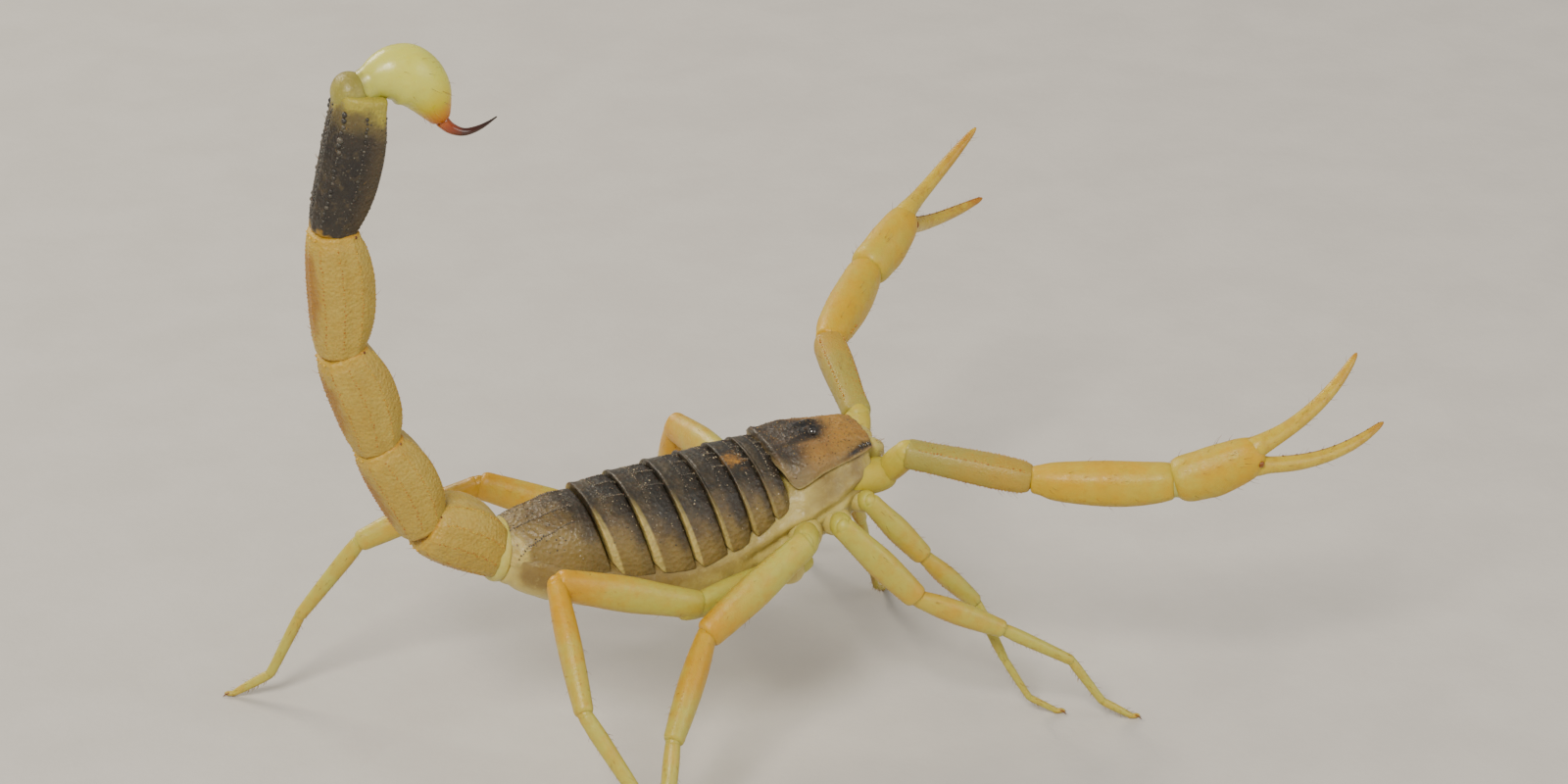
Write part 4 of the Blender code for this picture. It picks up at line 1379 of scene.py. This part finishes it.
def back_plate(number):
    """One back plate with its keels, colours, seam, spot and grains."""
    node = f"tergite_{number}"
    own = trunk_run(node, rear_point)
    own = own[own[:, 0].argsort()]
    rear_z, front_z = own[0, 0], own[-1, 0]
    length = front_z - rear_z
    lip = 0.22 / length
    shares = (
        (-lip, 0.955), (-lip * 0.85, 0.98), (-lip * 0.4, 0.995), (0.05, 0.999), (0.12, 0.992), (0.2, 0.984),
        (0.35, 0.983), (0.5, 0.978), (0.65, 0.969), (0.8, 0.96), (0.92, 0.949), (1.0, 0.938),
        (1.0 + lip * 1.4, 0.915)
    )
    rows = []
    drop = (0.3, 0.35, 0.45, 0.6, 0.75, 0.8, 1.3)[number - 1]
    corner = 1.3 if number < 7 else 0.35
    for share, size in shares:
        z = rear_z + length * share
        inside = min(max(z, rear_z), front_z)
        lower = drop * (1 - corner * bell(share, -lip, 0.16))
        wide, tall, y, tilt = (np.interp(inside, own[:, 0], own[:, k]) for k in (1, 2, 4, 5))
        cad_top = tall / np.interp((inside - rear_z) / length, (0, 0.2, 0.75, 1), (0.985, 1, 0.95, 0.9))
        out = wide * (0.4 + 0.6 * size) * 1.025
        rows.append((z, out, cad_top * size * 1.005 + lower, 0, y - lower, tilt))
    rows = np.array(rows)
    plate = grow(f"back_plate_{number}", rows, sides=40, section=squarish(2.3), flat_under=0.06, levels=2)
    keels = (0, 2.0) if number < 7 else (1.5, 3.0)

    def back_relief(x, y, z, normal):
        if normal.y < 0.1:
            return 0
        share = (z - rear_z) / length
        run = clamp((0.85 - share) * 5) * clamp((share + 0.05) * 8)
        keel = sum(bell(abs(x), k, 0.22) for k in keels)
        rough = noise.noise(Vector((x * 1.6, y * 1.6, z * 1.6))) * 0.05
        return (0.11 * keel + rough) * run

    press(plate, back_relief)
    points = points_of(plate)
    edge = np.interp(points[:, 2], own[:, 0], own[:, 4])
    slope = np.tan(np.interp(points[:, 2], own[:, 0], own[:, 5]))
    share = (points[:, 2] - (points[:, 1] - edge) * slope - rear_z) / length
    top = own[:, 2].max()
    height = (points[:, 1] - edge) / top - {7: 0.3, 6: 0.1}.get(number, 0)
    side = points[:, 0] / np.interp(points[:, 2], own[:, 0], own[:, 1])
    side *= (0.6, 0.64, 0.7, 0.84, 0.97, 0.97, 0.97)[number - 1]
    from_spot = np.stack([points[:, 0] + 1.6, points[:, 1] - edge - top * 0.95, (share - 0.35) * length])
    tone = bell(np.linalg.norm(from_spot, axis=0), 0, 1.05) * (number == 2)
    write_mark(plate, share - 0.025 * (number == 7), side, height, tone)
    lay(plate, trunk)
    keep(plate, PLATE, node)

    spots = []
    count = int(46 + 26 * length)
    for _ in range(count):
        z = rear_z + length * chance.uniform(-0.02, 0.75)
        aside = chance.uniform(-0.97, 0.97)
        x = aside * np.interp(z, own[:, 0], own[:, 1])
        spot, normal = drop_on(plate, x, z)
        if spot is None:
            continue
        size = chance.choice((0.045, 0.06, 0.06, 0.085))
        shade = chance.choice((0.05, 0.1, 0.15, 0.2, 0.4, 0.75))
        spots.append((spot, normal, AHEAD, size, size * 0.8, shade))
    count = int(own[:, 1].max() * 6)
    for k in range(count):
        aside = -0.95 + 1.9 * (k + chance.uniform(0.2, 0.8)) / count
        z = rear_z + 0.02
        x = aside * np.interp(z, own[:, 0], own[:, 1])
        spot, normal = drop_on(plate, x, z)
        if spot is not None:
            spots.append((spot, normal, AHEAD, 0.07, 0.06, chance.uniform(0.1, 0.4)))
    count = int(length * 4)
    for keel in keels:
        for swing in (-1, 1):
            for k in range(count):
                z = rear_z + length * (0.05 + 0.7 * k / count)
                x = swing * keel + chance.uniform(-0.05, 0.05)
                spot, normal = drop_on(plate, x, z)
                if spot is not None:
                    spots.append((spot, normal, AHEAD, 0.085, 0.08, chance.uniform(0.0, 0.3)))
    scatter(f"back_grains_{number}", GRAIN, spots, BACK_GRAIN)


for number in range(1, 8):
    back_plate(number)

# Pale rim round the trunk's end, where the tail begins
end_lean = belly_rows[0, 5]
RIM = ((-0.7, 0.8), (-0.62, 0.94), (-0.4, 1.02), (-0.1, 1.06), (0.2, 1.07), (0.35, 1.0))
rim_rows = np.array([(z, 2.66 * size, 2.52 * size, 0, 0.95, end_lean) for z, size in RIM])
limb("trunk_end_rim", trunk, rim_rows, FOLD, (), (0.15, 0.35), sides=24, levels=2)

# Head shield
shield_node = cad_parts["carapace"]


def probe(x, y, z, way):
    """Where a line in the trunk's frame meets the head shield's solid."""
    start = trunk @ (Vector((x, y, z)) * MM)
    spot = tree_of(shield_node).ray_cast(start, (trunk.to_3x3() @ Vector(way)).normalized())[0]
    return trunk_back @ spot / MM if spot else None


corners = np.array([trunk_back @ v.co / MM for v in shield_node.data.vertices])
shield_rear, shield_front = corners[:, 2].min(), corners[:, 2].max()
shield_rows = []
for share in np.linspace(0.04, 0.97, 13):
    z = shield_rear + (shield_front - shield_rear) * share
    under = probe(0, -9, z, (0, 1, 0))
    over = probe(0, 20, z, (0, -1, 0))
    if under is None or over is None:
        continue
    out = probe(20, under.y + 0.35, z, (-1, 0, 0))
    if out is None:
        continue
    shoulder = probe(out.x * 0.5, 20, z, (0, -1, 0))
    tall = (shoulder.y - under.y) / 0.955
    shield_rows.append((z, out.x * 1.01, tall, 0, under.y, 0))
shield_rows = np.array(shield_rows)
first, last = shield_rows[0].copy(), shield_rows[-1].copy()
first[0], last[0] = shield_rear - 0.1, shield_front
shield_rows = np.array([first, *shield_rows, last])
# Its rear edge tucks down on the first plate, its rear corners are round, its front is thin
for k, (wide, tall, lift) in enumerate(((0.85, 0.8, 0.75), (0.92, 0.87, 0.4), (0.97, 0.93, 0.15))):
    shield_rows[k] *= (1, wide, tall, 1, 1, 1)
    shield_rows[k, 4] += lift
shield_rows[-1] *= (1, 0.88, 0.62, 1, 1, 1)
shield = grow("head_shield", shield_rows, sides=48, section=squarish(2.55), flat_under=0.05, levels=2)
eye_spots = {}
for side_name, side_sign in SIDES:
    low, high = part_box(f"eye_{side_name}")
    at = trunk_back @ ((low + high) / 2) / MM
    eye_spots[side_name] = (at, (high.x - low.x) / 2 / MM)
(eye_x, _, eye_z), eye_size = eye_spots["left"]


def shield_relief(x, y, z, normal):
    """Eye mound with its brows, keels that fan out behind and ahead, and furrows between them."""
    if normal.y < 0.05:
        return 0
    ahead = z - eye_z
    aside = abs(x)
    mound = 0.42 * bell(aside, 0, 1.15, 4) * bell(ahead, 0, 1.55)
    corner = -0.5 * clamp(ahead / 3.0) * min(1.0, (x / 2.6) ** 2) * max(0.0, normal.y)
    furrow = -0.16 * bell(aside, 0, 0.2) * bell(ahead, 0, 2.2)
    brow = 0.17 * bell(aside, eye_x - 0.2, 0.2) * bell(ahead, 0, 0.85)
    brow -= 0.16 * bell(aside, eye_x + 0.35, 0.28) * bell(ahead, 0, 0.6)
    keel_line = 1.0 + 0.16 * max(0.0, ahead) + 0.22 * max(0.0, -ahead)
    keel = 0.12 * bell(aside, keel_line, 0.2) * (1 - bell(ahead, 0, 1.2))
    keel += 0.07 * bell(aside, 2.6 - 0.1 * ahead, 0.25)
    hollow = -0.14 * bell(aside, 1.9, 0.5) * bell(ahead, -1.3, 1.3)
    rough = 0.05 * noise.noise(Vector((x, y, z)) * 1.7)
    rim = 0.12 * bell(z, shield_front - 0.25, 0.22)
    return mound + furrow + brow + keel + hollow + rough + rim + corner


press(shield, shield_relief)
points = points_of(shield)
write_mark(shield, 0.5, points[:, 0] / 5, points[:, 1] / 5, 0.5)
under, tall_here = (np.interp(points[:, 2], shield_rows[:, 0], shield_rows[:, k]) for k in (4, 2))
height = (points[:, 1] - under) / tall_here
aside, ahead = points[:, 0], points[:, 2] - eye_z
behind_front = shield_front - points[:, 2]
low_share = clamp((0.8 - height) / 0.55)
down_share = clamp((0.93 - height) / 0.3)
out_share = clamp((np.abs(aside) - 0.9 - 0.9 * (aside > 0)) / 1.3)
front = clamp((ahead + 0.1 + 2.7 * out_share) / 2.2)
front = front * front * (3 - 2 * front)


def painted(under, share, colour):
    """A colour laid over what is painted so far, by a share for each point."""
    share = clamp(share)[:, None]
    return under * (1 - share) + np.array(colour) * share


TOP_BROWN, SIDE_OLIVE, NEAR_BLACK = (0.040, 0.031, 0.023), (0.215, 0.16, 0.075), (0.008, 0.008, 0.009)
GOLD, LOW_GOLD, DULL_GOLD = (0.31, 0.160, 0.028), (0.225, 0.14, 0.042), (0.17, 0.10, 0.045)
STREAK_BROWN, EDGE_BROWN, HEM_YELLOW = (0.018, 0.014, 0.012), (0.05, 0.04, 0.028), (0.38, 0.32, 0.12)
tint = painted(np.tile(TOP_BROWN, (len(points), 1)), low_share, SIDE_OLIVE)
gold = painted(np.tile(GOLD, (len(points), 1)), low_share, LOW_GOLD)
gold = painted(gold, 0.6 * clamp((2.0 - ahead) / 1.6) * (1 - down_share), DULL_GOLD)
tint = painted(tint, front, gold)
tint = painted(tint, 1.3 * bell(ahead, -0.3, 1.2) * bell(aside, 0, 1.75, 4), NEAR_BLACK)
streak = bell(behind_front, 1.25, 1.6) * bell(height, 0.3 - 0.035 * behind_front, 0.11)
tint = painted(tint, 1.5 * streak * (np.abs(aside) > 1.8), STREAK_BROWN)
tint = painted(tint, bell(points[:, 2], shield_rear - 0.1, 0.3) * clamp((height - 0.3) / 0.3), EDGE_BROWN)
hem = bell(height, 0, 0.06) * (points[:, 1] > points[:, 1].min() + 0.05)
tint = painted(tint, hem * 0.6, HEM_YELLOW)
layer = shield.data.attributes.new("tint", "FLOAT_COLOR", "POINT")
layer.data.foreach_set("color", np.hstack([tint, np.ones((len(tint), 1))]).astype(np.float32).ravel())
lay(shield, trunk)
keep(shield, SHIELD, "carapace")

spots = []
for _ in range(620):
    z = chance.uniform(shield_rear, shield_front - 0.1)
    aside = chance.uniform(-0.98, 0.98)
    x = aside * np.interp(z, shield_rows[:, 0], shield_rows[:, 1])
    spot, normal = drop_on(shield, x, z, 12)
    near_eye = min((Vector((x, z)) - Vector((s * eye_x, eye_z))).length for s in (-1, 1))
    if spot is None or near_eye < eye_size * 1.3:
        continue
    size = chance.choice((0.04, 0.055, 0.07))
    is_front = z > eye_z + 0.8
    shade = chance.choice((0.15, 0.3, 0.5) if is_front else (0.05, 0.1, 0.2, 0.5))
    spots.append((spot, normal, AHEAD, size, size * 0.8, shade))
scatter("head_grains", GRAIN, spots, HEAD_GRAIN)


def ball_piece(name, at, radius, way, look, nodes=(), squash=1.0):
    """A domed bead: an icosphere flattened a little along one way and smoothed."""
    deselect()
    bpy.ops.mesh.primitive_ico_sphere_add(subdivisions=3, radius=radius * MM)
    obj = new_piece(name, (1, 1, squash))
    smooth(obj, 1)
    write_mark(obj, 0.5, 0, 0, 0.3)
    lay(obj, frame_along(at, at + way, AHEAD))
    return keep(obj, look, *nodes)


# The middle eyes are the solids' own size, a touch proud; the side eyes sit in the dark streak
LENS_SHARE = 1.04
SIDE_EYES = ((0.45, 0.4, 0.17), (0.85, 0.47, 0.16), (1.25, 0.56, 0.13))
for side_name, side_sign in SIDES:
    at, size = eye_spots[side_name]
    centre = trunk @ (at * MM)
    outward = (trunk.to_3x3() @ Vector((side_sign * 0.75, 0.6, 0.12))).normalized()
    ball_piece(
        f"eye_{side_name}_lens", centre, size * LENS_SHARE, outward, EYE, (f"eye_{side_name}",), 0.96
    )
    # Raised rim round each eye
    deselect()
    bpy.ops.mesh.primitive_torus_add(
        major_radius=size * 0.98 * MM, minor_radius=0.1 * MM, major_segments=28, minor_segments=10
    )
    rim = new_piece(f"eye_{side_name}_rim", (1.04, 0.98, 1.2))
    smooth(rim, 0)
    write_mark(rim, 0.5, 0, 0, 0.1)
    lay(rim, frame_along(centre + outward * size * 0.18 * MM, centre + outward, AHEAD))
    keep(rim, EYE_RIM)
    for k, (back, lift, radius) in enumerate(SIDE_EYES):
        z = shield_front - back
        y = np.interp(z, shield_rows[:, 0], shield_rows[:, 4]) + lift
        start = trunk @ (Vector((side_sign * 12, y, z)) * MM)
        spot, normal = tree_of(shield).ray_cast(start, -axis_of(trunk, 0) * side_sign)[:2]
        if spot is None:
            continue
        ball_piece(
            f"side_eye_{side_name}_{k + 1}", spot - normal * radius * 0.3 * MM, radius, normal, EYE, (), 0.9
        )


# Jaws


# The jaws lie drawn back under the shield's front edge
JAW_SHIFT = Vector((-0.75, 0, -0.35)) * MM


def jaw(side, sign):
    node = f"chelicera_{side}"
    rings = rings_of(node, body_middle)
    place, own = curved_run(rings, Vector((0, 0, 1)))
    rows = smooth_rows(own, 3)[:-3]
    first = rows[0].copy()
    first[0] -= 0.8
    rows = np.array([first, *rows])
    place = Matrix.Translation(JAW_SHIFT) @ place
    base = limb(
        f"{node}_base", place, rows, IVORY, (node,), (0.1, 0.3, 0.6), sides=18, section=squarish(2.3),
        levels=2
    )
    hairs.extend(bristles(base, place, rows, 40, 0.45, (0.4, 1.0)))
    tip = middle_of(rings[-1]) + JAW_SHIFT
    root = middle_of(rings[-3]) + JAW_SHIFT
    for which, offset, drop in (("fixed", -0.42, 0.15), ("movable", 0.5, 0.05)):
        start = root + Vector((0.15, sign * offset * 0.7, -0.05)) * MM
        end = tip + Vector((-0.15, sign * offset * 0.45, drop - 0.1)) * MM
        finger_place = frame_along(start, end, UP)
        long = (end - start).length / MM
        finger_rows = np.array(
            [
                (0, 0.42, 0.42, 0, 0, 0), (0.3 * long, 0.4, 0.42, 0, 0.1, 0),
                (0.6 * long, 0.28, 0.3, 0, 0.08, 0.3), (0.85 * long, 0.16, 0.18, 0, -0.02, 0.5),
                (long, 0.05, 0.06, 0, -0.15, 0.6)
            ]
        )
        piece = limb(
            f"{node}_{which}_finger", finger_place, finger_rows, IVORY, (), (0.6, 1.0), sides=12, levels=2
        )
        inward = 180 * (offset > 0) + sign * 90
        shares = (0.35, 0.5, 0.65, 0.8)
        spots = row_of_studs(piece, finger_place, finger_rows, inward, shares, 0.09, 1.3, 0.3)
        scatter(f"{node}_{which}_teeth", GRAIN, spots, CLAW)


for side_name, side_sign in SIDES:
    jaw(side_name, side_sign)


# Combs under the belly


def comb(side):
    node = f"pecten_{side}"
    rings = rings_of(node, Vector((body_middle.x, 0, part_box(node)[1].z)))
    place, own = curved_run(rings, Vector((0, 0, -1)))
    rows = smooth_rows(own, 3)
    rows[:, 1] *= 0.8
    rows = closed(rows, 0.5, 0.2, 0.15)
    limb(
        f"{node}_shaft", place, rows, IVORY, (node,), (0.3, 0.1), sides=16, section=squarish(2.4), levels=2
    )
    rear = -AHEAD
    spots = []
    count = 26
    for k in range(count):
        share = 0.06 + 0.9 * k / (count - 1)
        at = at_share(place, rows, share)
        half = np.interp(share * rows[-1, 0], rows[:, 0], rows[:, 1])
        spot = at + rear * half * 0.8 * MM
        tooth = 0.62 - 0.25 * abs(share - 0.45)
        spots.append((spot + rear * tooth * 0.6 * MM, rear + UP * -0.15, UP, 0.075, tooth, 0.7))
    scatter(f"{node}_teeth", BEAD, spots, COMB_TOOTH)


for side_name, _ in SIDES:
    comb(side_name)

scatter("bristles", BRISTLE, [hair for hair in hairs if has_room(hair)], HAIR)


# Studio

box_middle = (cad_low + cad_high) / 2
bpy.ops.object.select_all(action="DESELECT")
bpy.ops.mesh.primitive_plane_add(size=6, location=(0, 0, 0))
floor = bpy.context.object
floor.name = "studio_floor"
bpy.ops.object.mode_set(mode="EDIT")
bpy.ops.mesh.subdivide(number_cuts=4)
bpy.ops.object.mode_set(mode="OBJECT")
floor.data.materials.append(floor_finish())


def soft_light(name, at, size, power, colour):
    light = bpy.data.lights.new(name, "AREA")
    light.shape = "DISK"
    light.size = size
    light.energy = power
    light.color = colour
    obj = bpy.data.objects.new(name, light)
    obj.location = at
    obj.rotation_mode = "QUATERNION"
    obj.rotation_quaternion = (Vector(at) - box_middle).to_track_quat("Z", "Y")
    bpy.context.scene.collection.objects.link(obj)


soft_light("key_light", (-0.42, -0.45, 0.62), 0.28, 7.5, (1.0, 0.93, 0.82))
soft_light("fill_light", (0.55, -0.55, 0.35), 0.6, 2.3, (1.0, 0.97, 0.92))
soft_light("rim_light", (-0.25, 0.6, 0.45), 0.35, 4.0, (1.0, 0.90, 0.74))

world = bpy.data.worlds.new("studio")
bpy.context.scene.world = world
world.use_nodes = True
world.node_tree.nodes["Background"].inputs["Color"].default_value = (0.94, 0.91, 0.87, 1)
world.node_tree.nodes["Background"].inputs["Strength"].default_value = 0.42

camera = bpy.data.cameras.new("camera")
camera.lens = 100
camera.sensor_width = 36
camera.clip_start = 0.01
camera.clip_end = 20
camera_object = bpy.data.objects.new("camera", camera)
bpy.context.scene.collection.objects.link(camera_object)
CAMERA_AIM = Vector((-5.76, -12.84, 1.97))
CAMERA_DISTANCE = 350
SWING, RISE = radians(23), radians(25)
toward = Vector((-sin(SWING) * cos(RISE), -cos(SWING) * cos(RISE), sin(RISE)))
aim = box_middle + CAMERA_AIM * MM
camera_object.location = aim + toward * CAMERA_DISTANCE * MM
camera_object.rotation_mode = "QUATERNION"
camera_object.rotation_quaternion = toward.to_track_quat("Z", "Y")
bpy.context.scene.camera = camera_object
